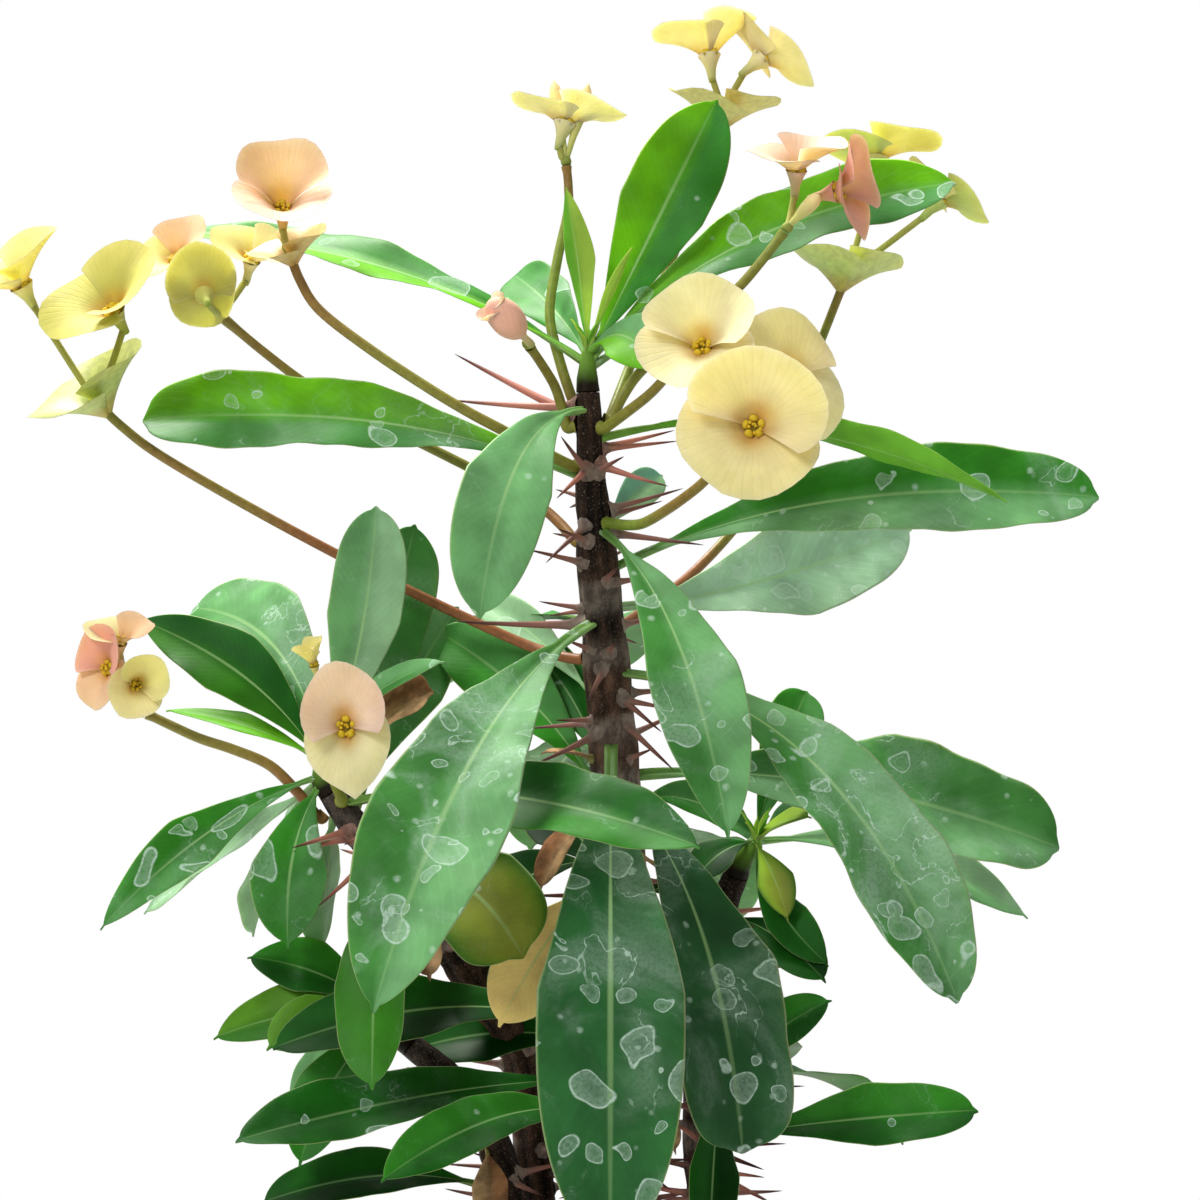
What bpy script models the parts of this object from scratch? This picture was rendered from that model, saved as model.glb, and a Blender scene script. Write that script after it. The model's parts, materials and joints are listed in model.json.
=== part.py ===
"""A crown of thorns plant in a plain pot: thorny woody stems, oblong leaves and flower heads on long stalks.

Every size and place below is in millimetres, and MM turns it to metres. X runs to the right of the plant's
front, Y to its back and Z up. The origin is the middle of the pot's underside. Each stem, each large leaf,
each leafy shoot tip, each flower stalk and each flower head is its own solid.
"""
import math
import random
from collections import namedtuple

import bmesh
import bpy
import numpy as np
from mathutils import Matrix, Vector

MM = 0.001
SEAT_GAP = 0.3

# The pot and the soil
POT_HEIGHT = 130.0
POT_BASE_RADIUS = 56.0
POT_TOP_RADIUS = 74.0
POT_WALL = 4.5
POT_FLOOR = 6.0
RIM_HEIGHT = 22.0
RIM_STEP = 4.0
DRAIN_RADIUS = 5.0
DRAIN_RING = 26.0
DRAIN_HOLES = 3
SOIL_TOP = 118.0
SOIL_DOME = 4.0
STEM_FOOT = 78.0

# What every blade of a kind shares
LEAF_THICKNESS = 0.9
LEAF_FOLD = math.radians(13)
PETIOLE_SHARE = 0.1
LEAF_STATIONS = 6
SMALL_LEAF_STATIONS = 4
SMALL_LEAF_WIDTH = 16
BRACT_THICKNESS = 0.8
BRACT_FAN = math.radians(106)
SPINE_STEP = 10.5
SPINE_CLEARANCE = 2.2
SPINE_SEED = 7

BARK = ("Bark", (0.13, 0.085, 0.062), 0.85)
LEAF_GREEN = ("Leaf green", (0.075, 0.27, 0.085), 0.42)
LEAF_YELLOW = ("Leaf yellow", (0.72, 0.52, 0.12), 0.5)
STALK_GREEN = ("Stalk green", (0.30, 0.36, 0.09), 0.5)
BRACT_YELLOW = ("Bract yellow", (0.90, 0.74, 0.30), 0.55)
BRACT_PINK = ("Bract pink", (0.90, 0.50, 0.33), 0.55)
CLAY = ("Clay", (0.52, 0.24, 0.14), 0.8)
EARTH = ("Earth", (0.06, 0.04, 0.028), 0.95)

Stem = namedtuple("Stem", "path radii")
Leaf = namedtuple("Leaf", "name stem height tip width bow face end")
Head = namedtuple("Head", "name stem height via fork blooms buds under colour")
Bloom = namedtuple("Bloom", "centre facing size spin cup wide")

# A stem's path runs from its foot in the soil to the top of its bark
STEMS = {
    "main_stem": Stem(
        [(6, 4, 78), (6, 4, 124), (6, 4, 134), (8, 2, 190), (7, 0, 255), (5, 0, 299), (3, 0, 325), (-1, 0, 370), (-3, 0, 402),
         (-4, 0, 424)],
        [10.0, 10.0, 10.0, 9.5, 9.0, 8.5, 8.2, 7.0, 5.0, 4.4]),
    "left_stem": Stem(
        [(-22, 26, 78), (-22, 26, 124), (-22, 26, 134), (-23, 24, 172), (-28, 16, 204), (-42, 6, 226), (-60, -4, 254), (-80, -12, 280),
         (-88, -14, 292)],
        [7.6, 7.6, 7.6, 7.4, 7.0, 6.6, 6.2, 5.6, 5.0]),
    "right_stem": Stem(
        [(38, 28, 78), (38, 28, 124), (38, 28, 134), (35, 27, 180), (37, 22, 232), (46, 14, 262)],
        [7.0, 7.0, 7.0, 6.8, 6.0, 4.8]),
    "low_left_stem": Stem(
        [(-24, -28, 78), (-24, -28, 124), (-24, -28, 134), (-28, -24, 160), (-42, -14, 190), (-62, -10, 208)],
        [6.0, 6.0, 6.0, 5.8, 5.4, 4.6]),
    "low_right_stem": Stem(
        [(32, -22, 78), (32, -22, 124), (32, -22, 134), (34, -18, 158), (38, -12, 186)],
        [5.6, 5.6, 5.6, 5.2, 4.4]),
}

# Long spines that stand out, each with its stem, its height on it and its tip
LONG_SPINES = [
    ("main_stem", 419, (-52, -10, 421)), ("main_stem", 414, (-50, 4, 436)), ("main_stem", 401, (22, -16, 391)),
    ("main_stem", 405, (26, 2, 408)), ("main_stem", 378, (34, -12, 373)), ("main_stem", 366, (-24, -16, 372)),
    ("main_stem", 347, (-48, -8, 346)), ("main_stem", 334, (-4, -30, 322)), ("main_stem", 326, (20, -22, 312)),
    ("left_stem", 286, (-126, -22, 306)), ("left_stem", 280, (-98, -40, 276)), ("left_stem", 272, (-90, -34, 256)),
]

# A leaf grows from its stem at a height, and its tip is a place. bow is how far its back rises off the line
# from foot to tip, face how many degrees its upper side turns to the plant's front, and end how round its end
# is, from 0 for a point to 1.
SINGLE_LEAVES = [
    Leaf("leaf_left_long", "main_stem", 397, (-150, 0, 414), 31, 10, 50, 1.0),
    Leaf("leaf_front_left", "main_stem", 418, (-37, -66, 351), 29, 17, 30, 0.7),
    Leaf("leaf_right_long", "main_stem", 366, (165, -8, 389), 33, 11, 62, 1.0),
    Leaf("leaf_right_bright", "main_stem", 409, (128, -42, 388), 17, 7, -30, 0.1),
    Leaf("leaf_right_back", "main_stem", 352, (109, 56, 380), 31, 7, 50, 0.5),
    Leaf("leaf_front_right", "main_stem", 377, (39, -74, 284), 30, 14, 20, 0.4),
    Leaf("leaf_front_large", "main_stem", 347, (-66, -110, 236), 44, 17, 22, 0.3),
    Leaf("leaf_right_front", "main_stem", 330, (108, -72, 232), 36, 24, 30, 0.6),
    Leaf("leaf_right_wide", "main_stem", 296, (153, 8, 268), 38, 7, 44, 1.0),
    Leaf("leaf_front_middle", "main_stem", 306, (3, -105, 164), 46, 20, 0, 0.6),
    Leaf("leaf_front_dark", "main_stem", 289, (44, -62, 184), 38, 15, 14, 1.0),
    Leaf("leaf_back_left", "main_stem", 348, (-62, 100, 322), 32, 5, 0, 0.6),
    Leaf("leaf_back_middle", "main_stem", 336, (10, 118, 330), 34, 16, 0, 0.5),
    Leaf("leaf_back_low", "main_stem", 300, (-26, 116, 262), 36, 18, 0, 0.6),
    Leaf("leaf_back_right", "main_stem", 270, (52, 110, 236), 34, 16, 0, 0.5),
    Leaf("leaf_round", "left_stem", 264, (-25, -44, 243), 35, 9, 60, 1.0),
    Leaf("leaf_yellow", "main_stem", 262, (-32, -30, 219), 27, 3, 62, 0.5),
    Leaf("leaf_low_middle", "left_stem", 287, (29, -88, 281), 31, 8, 40, 0.3),
    Leaf("leaf_low_dark", "main_stem", 212, (-104, -30, 211), 27, 10, 40, 0.7),
    Leaf("leaf_low_tip", "main_stem", 196, (-112, -60, 190), 25, 4, 34, 0.5),
    Leaf("leaf_low_left", "low_left_stem", 166, (-108, -30, 161), 24, 6, 34, 0.5),
    Leaf("leaf_hanging", "left_stem", 268, (-71, -58, 204), 27, 8, 24, 0.5),
    Leaf("leaf_low_front", "main_stem", 184, (-66, -74, 178), 22, 9, 34, 0.4),
    Leaf("leaf_low_right", "low_right_stem", 180, (123, -12, 187), 21, 3, 36, 0.1),
]

# The green shoot tips and the leaves that grow from each
SHOOTS = {
    "main_shoot": ("main_stem", (-4, 0, 440), [
        Leaf("upright", "main_stem", 434, (-11, -12, 490), 12, 2, 0, 0.0),
        Leaf("upper_right", "main_stem", 432, (39, 12, 523), 31, 0, 70, 0.6),
        Leaf("long_right", "main_stem", 431, (119, 14, 496), 30, 13, 52, 0.9),
        Leaf("long_left", "main_stem", 431, (-146, 40, 483), 27, 10, 36, 0.1),
        Leaf("upper_back", "main_stem", 434, (-28, 60, 474), 26, 3, 40, 0.9),
        Leaf("small_front", "main_stem", 436, (19, -30, 438), 13, 5, 20, 0.2),
        Leaf("back_right", "main_stem", 429, (75, 40, 446), 27, 9, 10, 0.5),
        Leaf("young", "main_stem", 437, (10, -14, 470), 5, 1, 0, 0.0),
    ]),
    "left_shoot": ("left_stem", (-91, -18, 306), [
        Leaf("raised_left", "left_stem", 298, (-152, -4, 348), 27, 7, 54, 0.1),
        Leaf("drooping_left", "left_stem", 294, (-157, -46, 252), 23, 12, 50, 0.1),
        Leaf("standing", "left_stem", 300, (-71, -8, 384), 25, -4, 66, 0.5),
        Leaf("standing_back", "left_stem", 299, (-66, 28, 380), 26, -6, 60, 0.5),
        Leaf("behind_left", "left_stem", 297, (-141, 42, 352), 30, 14, 40, 0.9),
        Leaf("small_right", "left_stem", 301, (-51, -34, 333), 13, 5, 30, 0.3),
        Leaf("small_left", "left_stem", 301, (-144, 4, 318), 11, 3, 30, 0.0),
        Leaf("low_back_a", "left_stem", 293, (-156, 30, 248), 21, 11, 30, 0.1),
        Leaf("low_back_b", "left_stem", 292, (-120, 36, 240), 26, 10, 40, 0.6),
        Leaf("low_front", "left_stem", 292, (-101, -26, 244), 26, 6, 40, 0.3),
    ]),
    "right_shoot": ("right_stem", (53, 10, 275), [
        Leaf("tip_right", "right_stem", 274, (148, 42, 245), 27, 9, 40, 0.2),
        Leaf("small_back", "right_stem", 278, (73, 58, 322), 21, 3, 40, 0.9),
        Leaf("lime", "right_stem", 277, (69, -4, 283), 16, 2, 30, 0.2),
        Leaf("lime_low", "right_stem", 273, (62, -6, 250), 13, 2, 30, 0.2),
        Leaf("inner_dark", "right_stem", 274, (32, 0, 262), 17, 3, 30, 0.4),
        Leaf("back_far", "right_stem", 274, (106, 84, 270), 28, 12, 0, 0.5),
        Leaf("curled", "right_stem", 272, (74, -14, 236), 15, 2, 30, 0.3),
    ]),
    "low_left_shoot": ("low_left_stem", (-72, -10, 220), [
        Leaf("low_far", "low_left_stem", 220, (-126, -10, 210), 18, 4, 40, 0.2),
        Leaf("low_upper", "low_left_stem", 222, (-117, 6, 234), 20, 4, 40, 0.3),
        Leaf("low_mid", "low_left_stem", 218, (-103, -24, 208), 14, 4, 40, 0.2),
        Leaf("low_drop", "low_left_stem", 216, (-102, 12, 178), 23, 8, 40, 0.3),
        Leaf("low_drop_front", "low_left_stem", 215, (-96, -34, 175), 22, 6, 40, 0.4),
        Leaf("low_behind", "low_left_stem", 219, (-84, 52, 196), 28, 10, 0, 0.5),
    ]),
    "low_right_shoot": ("low_right_stem", (42, -9, 196), [
        Leaf("low_small", "low_right_stem", 196, (75, -12, 223), 17, 3, 50, 0.5),
        Leaf("low_hanging", "low_right_stem", 190, (34, -56, 148), 17, 8, 20, 0.3),
        Leaf("low_out", "low_right_stem", 194, (104, 34, 168), 27, 12, 0, 0.5),
        Leaf("low_deep", "low_right_stem", 195, (64, 60, 190), 27, 10, 0, 0.5),
    ]),
}

# A head's stalk leaves its stem at a height, passes the via points and ends at the fork, where it may carry a
# pair of small leaves of the given span. Each bloom has a centre, a direction that it faces, a span, a spin of
# its two bracts, the degrees that they rise into a cup and their width as a share of the span. Each bud has a tip.
HEADS = [
    Head("top", "main_stem", 421, [(-17, 14, 452), (-11, 26, 488)], (-11.5, 28, 504),
         [Bloom((-12, 29, 519), (0.15, -0.1, 1), 40, 0, 14, 0.5)], [(-14.5, 31, 526), (-8, 31, 525)], 0, BRACT_YELLOW),
    Head("high_right", "main_stem", 408, [(12, 34, 440), (32, 40, 492)], (43, 40, 523),
         [Bloom((38, 38, 547), (-0.15, -0.15, 1), 40, 10, 26, 0.62),
          Bloom((56, 38, 543), (0.7, -0.15, 0.7), 40, 0, 20, 0.62)], [], 42, BRACT_YELLOW),
    Head("pink_right", "main_stem", 415, [(14, 6, 432), (44, -16, 456)], (60, -20, 475),
         [Bloom((64, -20, 495), (0.05, -0.4, 1), 36, 20, 20, 0.75),
          Bloom((77, -20, 488), (1, -0.45, 0.2), 38, 90, 20, 0.75)], [(71, -27, 486)], 0, BRACT_PINK),
    Head("far_right", "main_stem", 346, [(34, 44, 366), (62, 66, 400), (76, 62, 440)], (87, 56, 469),
         [Bloom((98, 58, 513), (0.1, -0.2, 1), 46, 0, 8, 0.7), Bloom((120, 54, 496), (0.7, -0.3, 0.7), 36, 0, 10, 0.7)],
         [], 44, BRACT_YELLOW),
    Head("front_low", "main_stem", 380, [(14, -22, 380), (30, -44, 390)], (38, -56, 398),
         [Bloom((47, -76, 407), (-0.05, -1, 0.1), 46, 82, 12, 1.05)], [], 0, BRACT_YELLOW),
    Head("front_high", "main_stem", 412, [(16, -20, 422)], (26, -38, 432),
         [Bloom((32, -56, 434), (-0.2, -1, 0.25), 42, 72, 14, 0.95),
          Bloom((61, -43, 426), (0.5, -0.8, 0.3), 44, 128, -8, 0.8)], [], 0, BRACT_YELLOW),
    Head("bud_left", "main_stem", 413, [(-15, -1, 426)], (-23, -14, 438),
         [Bloom((-27, -22, 443), (-0.6, -0.5, 0.6), 26, 20, 58, 0.7)], [], 0, BRACT_PINK),
    Head("arched_left", "main_stem", 400, [(-33, -18, 411), (-56, -22, 424), (-91, -22, 449)], (-101, -22, 468),
         [Bloom((-103, -24, 486), (0.05, -0.8, 0.6), 40, 90, 30, 0.86)], [], 30, BRACT_PINK),
    Head("back_left", "main_stem", 375, [(-22, 20, 388), (-60, 24, 408), (-99, 20, 428)], (-127, 10, 450),
         [Bloom((-143, 13, 470), (-0.35, -0.7, 0.7), 32, 20, 20, 0.8),
          Bloom((-130, -4, 461), (0.1, -1, -0.3), 34, 88, 10, 0.8),
          Bloom((-118, 14, 470), (0.3, -0.6, 0.8), 32, -10, 20, 0.8)], [], 0, BRACT_YELLOW),
    Head("far_left", "main_stem", 336, [(-28, 14, 341), (-88, 10, 370), (-146, -4, 403)], (-166, -8, 420),
         [Bloom((-163, -14, 453), (0.25, -0.55, 0.8), 46, 4, -14, 0.8),
          Bloom((-194, -8, 459), (-0.3, -0.5, 0.8), 42, 8, 20, 0.8)], [], 48, BRACT_YELLOW),
    Head("low_left", "left_stem", 288, [(-108, -16, 299), (-130, -22, 308)], (-147, -24, 318),
         [Bloom((-156, -30, 331), (-0.6, -0.8, 0.2), 32, 70, 14, 0.8),
          Bloom((-146, -28, 341), (0.1, -0.5, 0.9), 24, 0, 24, 0.8)], [], 0, BRACT_PINK),
    Head("low_front", "left_stem", 289, [(-86, -30, 298)], (-82, -38, 304),
         [Bloom((-80, -50, 315), (0.05, -1, 0.12), 41, 98, 12, 0.7),
          Bloom((-91, -40, 334), (-0.2, -0.4, 1), 17, 40, 55, 0.8)], [], 0, BRACT_PINK),
]

GOLDEN_ANGLE = math.radians(137.5)


def clear_scene():
    for obj in list(bpy.data.objects):
        bpy.data.objects.remove(obj, do_unlink=True)


def new_collection(name):
    made = bpy.data.collections.new(name)
    bpy.context.scene.collection.children.link(made)
    return made


def material(spec):
    name, colour, roughness = spec
    found = bpy.data.materials.get(name)
    if found:
        return found
    made = bpy.data.materials.new(name)
    made.use_nodes = True
    shader = made.node_tree.nodes["Principled BSDF"]
    shader.inputs["Base Color"].default_value = (*colour, 1)
    shader.inputs["Roughness"].default_value = roughness
    shader.inputs["Metallic"].default_value = 0
    return made


def add_object(name, mesh, collection, finish):
    obj = bpy.data.objects.new(name, mesh)
    mesh.materials.clear()
    mesh.materials.append(material(finish))
    collection.objects.link(obj)
    return obj


def baked_mesh(obj):
    """The object's mesh with its modifiers applied, in world space, with touching points merged."""
    bpy.context.view_layer.update()
    graph = bpy.context.evaluated_depsgraph_get()
    mesh = bpy.data.meshes.new_from_object(obj.evaluated_get(graph))
    mesh.transform(obj.matrix_world)
    shape = bmesh.new()
    shape.from_mesh(mesh)
    bmesh.ops.remove_doubles(shape, verts=shape.verts, dist=0.01 * MM)
    bmesh.ops.recalc_face_normals(shape, faces=shape.faces)
    shape.to_mesh(mesh)
    shape.free()
    return mesh


def fused(name, pieces, collection, finish):
    """One solid: the first piece united with all the others, which are then removed."""
    base = add_object(name, baked_mesh(pieces[0]), collection, finish)
    joined = bpy.data.collections.new(name + "_pieces")
    bpy.context.scene.collection.children.link(joined)
    for piece in pieces[1:]:
        other = bpy.data.objects.new("piece", baked_mesh(piece))
        joined.objects.link(other)
    if len(pieces) > 1:
        union = base.modifiers.new("Union", "BOOLEAN")
        union.operation = "UNION"
        union.solver = "MANIFOLD"
        union.operand_type = "COLLECTION"
        union.collection = joined
        base.data = baked_mesh(base)
        base.modifiers.clear()
        base.data.materials.clear()
        base.data.materials.append(material(finish))
    for other in list(joined.objects) + list(pieces):
        bpy.data.objects.remove(other, do_unlink=True)
    bpy.data.collections.remove(joined)
    return base


def smooth_path(points, per_span):
    """A smooth curve through the points, as a Catmull-Rom spline with per_span steps a span."""
    knots = [Vector(points[0]) * 2 - Vector(points[1])] + [Vector(p) for p in points]
    knots.append(Vector(points[-1]) * 2 - Vector(points[-2]))
    places = []
    for a, b, c, d in zip(knots, knots[1:], knots[2:], knots[3:]):
        for step in range(per_span):
            t = step / per_span
            places.append(0.5 * (2 * b + (c - a) * t + (2 * a - 5 * b + 4 * c - d) * t * t
                                 + (3 * b - a - 3 * c + d) * t ** 3))
    places.append(knots[-2])
    return places


def stem_line(stem):
    """The places along a stem's middle, and its radius at each."""
    line = smooth_path(stem.path, 2)
    heights = [p[2] for p in stem.path]
    return line, [float(np.interp(place.z, heights, stem.radii)) for place in line]


def stem_at(stem_name, height):
    """A stem's middle, its direction and its radius at a height."""
    line, radii = stem_line(STEMS[stem_name])
    height = min(height, line[-1].z - 0.01)
    for low, high, a, b in zip(line, line[1:], radii, radii[1:]):
        if low.z <= height < high.z:
            share = (height - low.z) / (high.z - low.z)
            return low.lerp(high, share), (high - low).normalized(), a + (b - a) * share
    return line[0], Vector((0, 0, 1)), radii[0]


def tube(name, path, radii, resolution):
    """A closed round tube along the path, with a radius at each point."""
    curve = bpy.data.curves.new(name, "CURVE")
    curve.dimensions = "3D"
    curve.bevel_depth = MM
    curve.bevel_resolution = resolution
    curve.use_fill_caps = True
    spline = curve.splines.new("POLY")
    spline.points.add(len(path) - 1)
    for point, place, radius in zip(spline.points, path, radii):
        point.co = (*(Vector(place) * MM), 1)
        point.radius = radius
    obj = bpy.data.objects.new(name, curve)
    bpy.context.scene.collection.objects.link(obj)
    return obj


def cone(foot, tip, foot_radius, tip_radius, sides):
    """A solid cone from foot to tip."""
    foot, tip = Vector(foot), Vector(tip)
    shape = bmesh.new()
    bmesh.ops.create_cone(shape, cap_ends=True, segments=sides, radius1=foot_radius * MM,
                          radius2=tip_radius * MM, depth=(tip - foot).length * MM)
    turn = Vector((0, 0, 1)).rotation_difference(tip - foot).to_matrix().to_4x4()
    bmesh.ops.transform(shape, verts=shape.verts, matrix=Matrix.Translation((foot + tip) / 2 * MM) @ turn)
    mesh = bpy.data.meshes.new("cone")
    shape.to_mesh(mesh)
    shape.free()
    obj = bpy.data.objects.new("cone", mesh)
    bpy.context.scene.collection.objects.link(obj)
    return obj


def sheet(name, columns, rows, place, thickness):
    """A grid whose points place(s, t) puts in space, s from -1 to 1 across and t from 0 to 1 along, given a
    thickness. It is split into triangles first, so that its two faces are split alike and never cross."""
    shape = bmesh.new()
    bmesh.ops.create_grid(shape, x_segments=columns, y_segments=rows, size=1)
    for vert in shape.verts:
        vert.co = place(vert.co.x, (vert.co.y + 1) / 2) * MM
    bmesh.ops.triangulate(shape, faces=shape.faces)
    mesh = bpy.data.meshes.new(name)
    shape.to_mesh(mesh)
    shape.free()
    obj = bpy.data.objects.new(name, mesh)
    bpy.context.scene.collection.objects.link(obj)
    wall = obj.modifiers.new("Thickness", "SOLIDIFY")
    wall.thickness = thickness * MM
    wall.offset = 0
    return obj


def square_to(direction, wanted):
    """The part of wanted that is square to direction, at unit length."""
    return (wanted - direction * wanted.dot(direction)).normalized()


def leaf_width(t, end):
    """A blade's half width along its length, as a share of its widest: a slim petiole, a wedge that widens to
    past the middle, then an end that is pointed where end is 0 and round where it is 1."""
    blade = max(0.0, (t - PETIOLE_SHARE) / (1 - PETIOLE_SHARE))
    wedge = min(1.0, 0.12 + 1.55 * blade) - 0.18 * max(0.0, 0.57 - blade)
    start = 0.5 + 0.14 * end
    close = (1 - (max(0.0, blade - start) / (1 - start)) ** (1.9 + 0.9 * end)) ** (0.8 - 0.3 * end)
    return max(0.1 * (1 - 0.7 * t), wedge * close)


def leaf_place(leaf, foot):
    """The blade's formula: a bowed line from foot to tip, with the two halves folded up along the midrib and
    a low wave at the edges."""
    tip = Vector(leaf.tip)
    chord = tip - foot
    way = chord.normalized()
    rise = square_to(way, Vector((0, 0, 1)))
    front = (Vector((0, -1, 0)) - way * Vector((0, -1, 0)).dot(way))
    front = front - rise * front.dot(rise)
    front = front.normalized() if front.length > 1e-3 else way.cross(rise)
    turn = math.radians(leaf.face)
    middle = foot + chord * 0.42 + rise * (2 * leaf.bow)
    half = leaf.width / 2
    waves = chord.length / 48
    phase = sum(leaf.tip) * 0.37

    def place(s, u):
        t = 1 - (1 - u) ** 1.5
        line = foot * (1 - t) ** 2 + middle * (2 * t * (1 - t)) + tip * t ** 2
        going = ((middle - foot) * (1 - t) + (tip - middle) * t).normalized()
        up = square_to(going, rise * math.cos(turn) + front * math.sin(turn))
        side = going.cross(up)
        across = s * max(0.6, half * leaf_width(t, leaf.end))
        lift = abs(across) * math.sin(LEAF_FOLD)
        wave = 0.055 * leaf.width * math.sin(2 * math.pi * waves * t + phase + 1.3 * s) * abs(s)
        wave *= leaf_width(t, leaf.end)
        return line + side * (across * math.cos(LEAF_FOLD)) + up * (lift + wave)

    return place


def foot_on(stem_name, height, toward, inset):
    """A place just off a stem's skin, on the side that toward is on, and the way out of the stem there."""
    core, way, radius = stem_at(stem_name, height)
    out = square_to(way, Vector(toward) - core)
    return core + out * (radius + inset), out


def leaf_sheet(leaf, foot):
    stations = LEAF_STATIONS if leaf.width > SMALL_LEAF_WIDTH else SMALL_LEAF_STATIONS
    return sheet(leaf.name, 2, stations, leaf_place(leaf, foot), LEAF_THICKNESS)


def shoot_core(stem_name, top):
    """The line of a green shoot tip: it goes on from the end of its stem's bark to its top."""
    line, _ = stem_line(STEMS[stem_name])
    going = (line[-1] - line[-2]).normalized()
    start = line[-1] + going * (SEAT_GAP + 0.1)
    return [start, start + going * 4.5, Vector(top)]


def shoot_foot(core, height):
    """Where a leaf grows out of a shoot tip."""
    share = (height - core[0].z) / (core[2].z - core[0].z)
    return core[1].lerp(core[2], max(0.0, min(0.8, share)))


def make_shoots(collection):
    for name, (stem_name, top, leaves) in SHOOTS.items():
        core = shoot_core(stem_name, top)
        thick = STEMS[stem_name].radii[-1] - 0.4
        pieces = [tube("core", core, [thick, thick, 1.6], 2)]
        pieces += [leaf_sheet(leaf, shoot_foot(core, leaf.height)) for leaf in leaves]
        fused(name, pieces, collection, LEAF_GREEN)


def make_single_leaves(collection):
    for leaf in SINGLE_LEAVES:
        foot, _ = foot_on(leaf.stem, leaf.height, leaf.tip, SEAT_GAP + 0.1)
        finish = LEAF_YELLOW if leaf.name == "leaf_yellow" else LEAF_GREEN
        piece = leaf_sheet(leaf, foot)
        mesh = baked_mesh(piece)
        bpy.data.objects.remove(piece, do_unlink=True)
        add_object(leaf.name, mesh, collection, finish)


def bract_place(bloom, side):
    """One of a bloom's two bracts: a fan of a little more than half a disc round the bloom's centre, risen into
    a bowl. The two bracts' edges lie one over the other."""
    facing = Vector(bloom.facing).normalized()
    level = square_to(facing, Vector((1, 0, 0.01)))
    out = Matrix.Rotation(math.radians(bloom.spin), 3, facing) @ (level * side)
    across = facing.cross(out)
    cup = math.radians(bloom.cup + 4 * side)
    centre = Vector(bloom.centre)

    def place(s, t):
        bearing = s * BRACT_FAN
        far = 0.12 + 0.88 * t
        reach = bloom.size / 2 * far * (1 - 0.25 * abs(s) ** 6)
        lift = reach * math.sin(cup) + bloom.size * 0.12 * far * (1 - far)
        return (centre + out * (reach * math.cos(cup) * math.cos(bearing))
                + across * (reach * math.cos(cup) * bloom.wide * math.sin(bearing)) + facing * lift)

    return place


def bloom_pieces(bloom, fork):
    """A bloom: its foot stalk, its funnel, two bracts and the ring of glands in its middle."""
    facing = Vector(bloom.facing).normalized()
    centre = Vector(bloom.centre)
    funnel = centre - facing * min(9.0, 0.28 * bloom.size)
    gland = min(4.4, bloom.size * 0.11)
    pieces = [cone(funnel, centre + facing * 0.4, 1.3, gland * 0.8, 6)]
    if (funnel - fork).length > 2:
        pieces.append(tube("foot_stalk", [fork, fork.lerp(funnel, 0.5) - facing * 0.8, funnel + facing * 1.2],
                           [1.3, 1.2, 1.4], 0))
    for side in (1, -1):
        pieces.append(sheet("bract", 5, 1, bract_place(bloom, side), BRACT_THICKNESS))
    pieces.append(cone(centre - facing * 0.5, centre + facing * gland, gland, gland * 0.9, 6))
    return pieces


def make_heads(collection):
    for head in HEADS:
        fork = Vector(head.fork)
        foot, out = foot_on(head.stem, head.height, head.via[0], SEAT_GAP + 0.1)
        line = [foot] + smooth_path([foot + out * 2.5, *head.via, fork], 2)
        radii = np.linspace(2.0, 1.6, len(line))
        pieces = [tube("stalk", line, radii, 1)]
        if head.under:
            upward = (line[-1] - line[-2]).normalized()
            pair = Bloom(fork - upward * 4.0, upward + Vector((0, 0, 0.6)), head.under, 12, 24, 0.7)
            for side in (1, -1):
                pieces.append(sheet("pair", 5, 1, bract_place(pair, side), BRACT_THICKNESS))
        fused("stalk_" + head.name, pieces, collection, STALK_GREEN)
        going = (line[-1] - line[-2]).normalized()
        start = fork + going * (SEAT_GAP + 0.1)
        knot = cone(start, start + going * 3.0, 1.7, 1.5, 6)
        pieces = [knot]
        for bloom in head.blooms:
            pieces += bloom_pieces(bloom, start + going * 1.5)
        for tip in head.buds:
            root = start + going * 1.5
            pieces.append(tube("bud", [root, root.lerp(Vector(tip), 0.5), tip], [0.9, 2.0, 0.5], 1))
        fused("head_" + head.name, pieces, collection, head.colour)


def blade_points():
    """Points on every leaf and stalk, by which the spines keep clear of them."""
    places = []
    grid = [(s / 4, t / 24) for s in range(-4, 5) for t in range(25)]
    for leaf in SINGLE_LEAVES:
        foot, _ = foot_on(leaf.stem, leaf.height, leaf.tip, SEAT_GAP)
        place = leaf_place(leaf, foot)
        places += [place(s, t) for s, t in grid]
    for stem_name, top, leaves in SHOOTS.values():
        core = shoot_core(stem_name, top)
        for leaf in leaves:
            place = leaf_place(leaf, shoot_foot(core, leaf.height))
            places += [place(s, t) for s, t in grid]
    for head in HEADS:
        foot, _ = foot_on(head.stem, head.height, head.via[0], SEAT_GAP)
        skin = [Vector(way) * 1.7 for way in ((1, 0, 0), (-1, 0, 0), (0, 1, 0), (0, -1, 0), (0, 0, 1), (0, 0, -1))]
        places += [p + off for p in smooth_path([foot, *head.via, head.fork], 16) for off in skin]
    return np.array([list(p) for p in places])


def spine(stem_name, height, out, length):
    """A thin cone that stands out of a stem, with its root sunk in."""
    core, _, radius = stem_at(stem_name, height)
    return cone(core + out * (radius - 2.2), core + out * (radius + length), 1.8, 0.35, 3)


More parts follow.
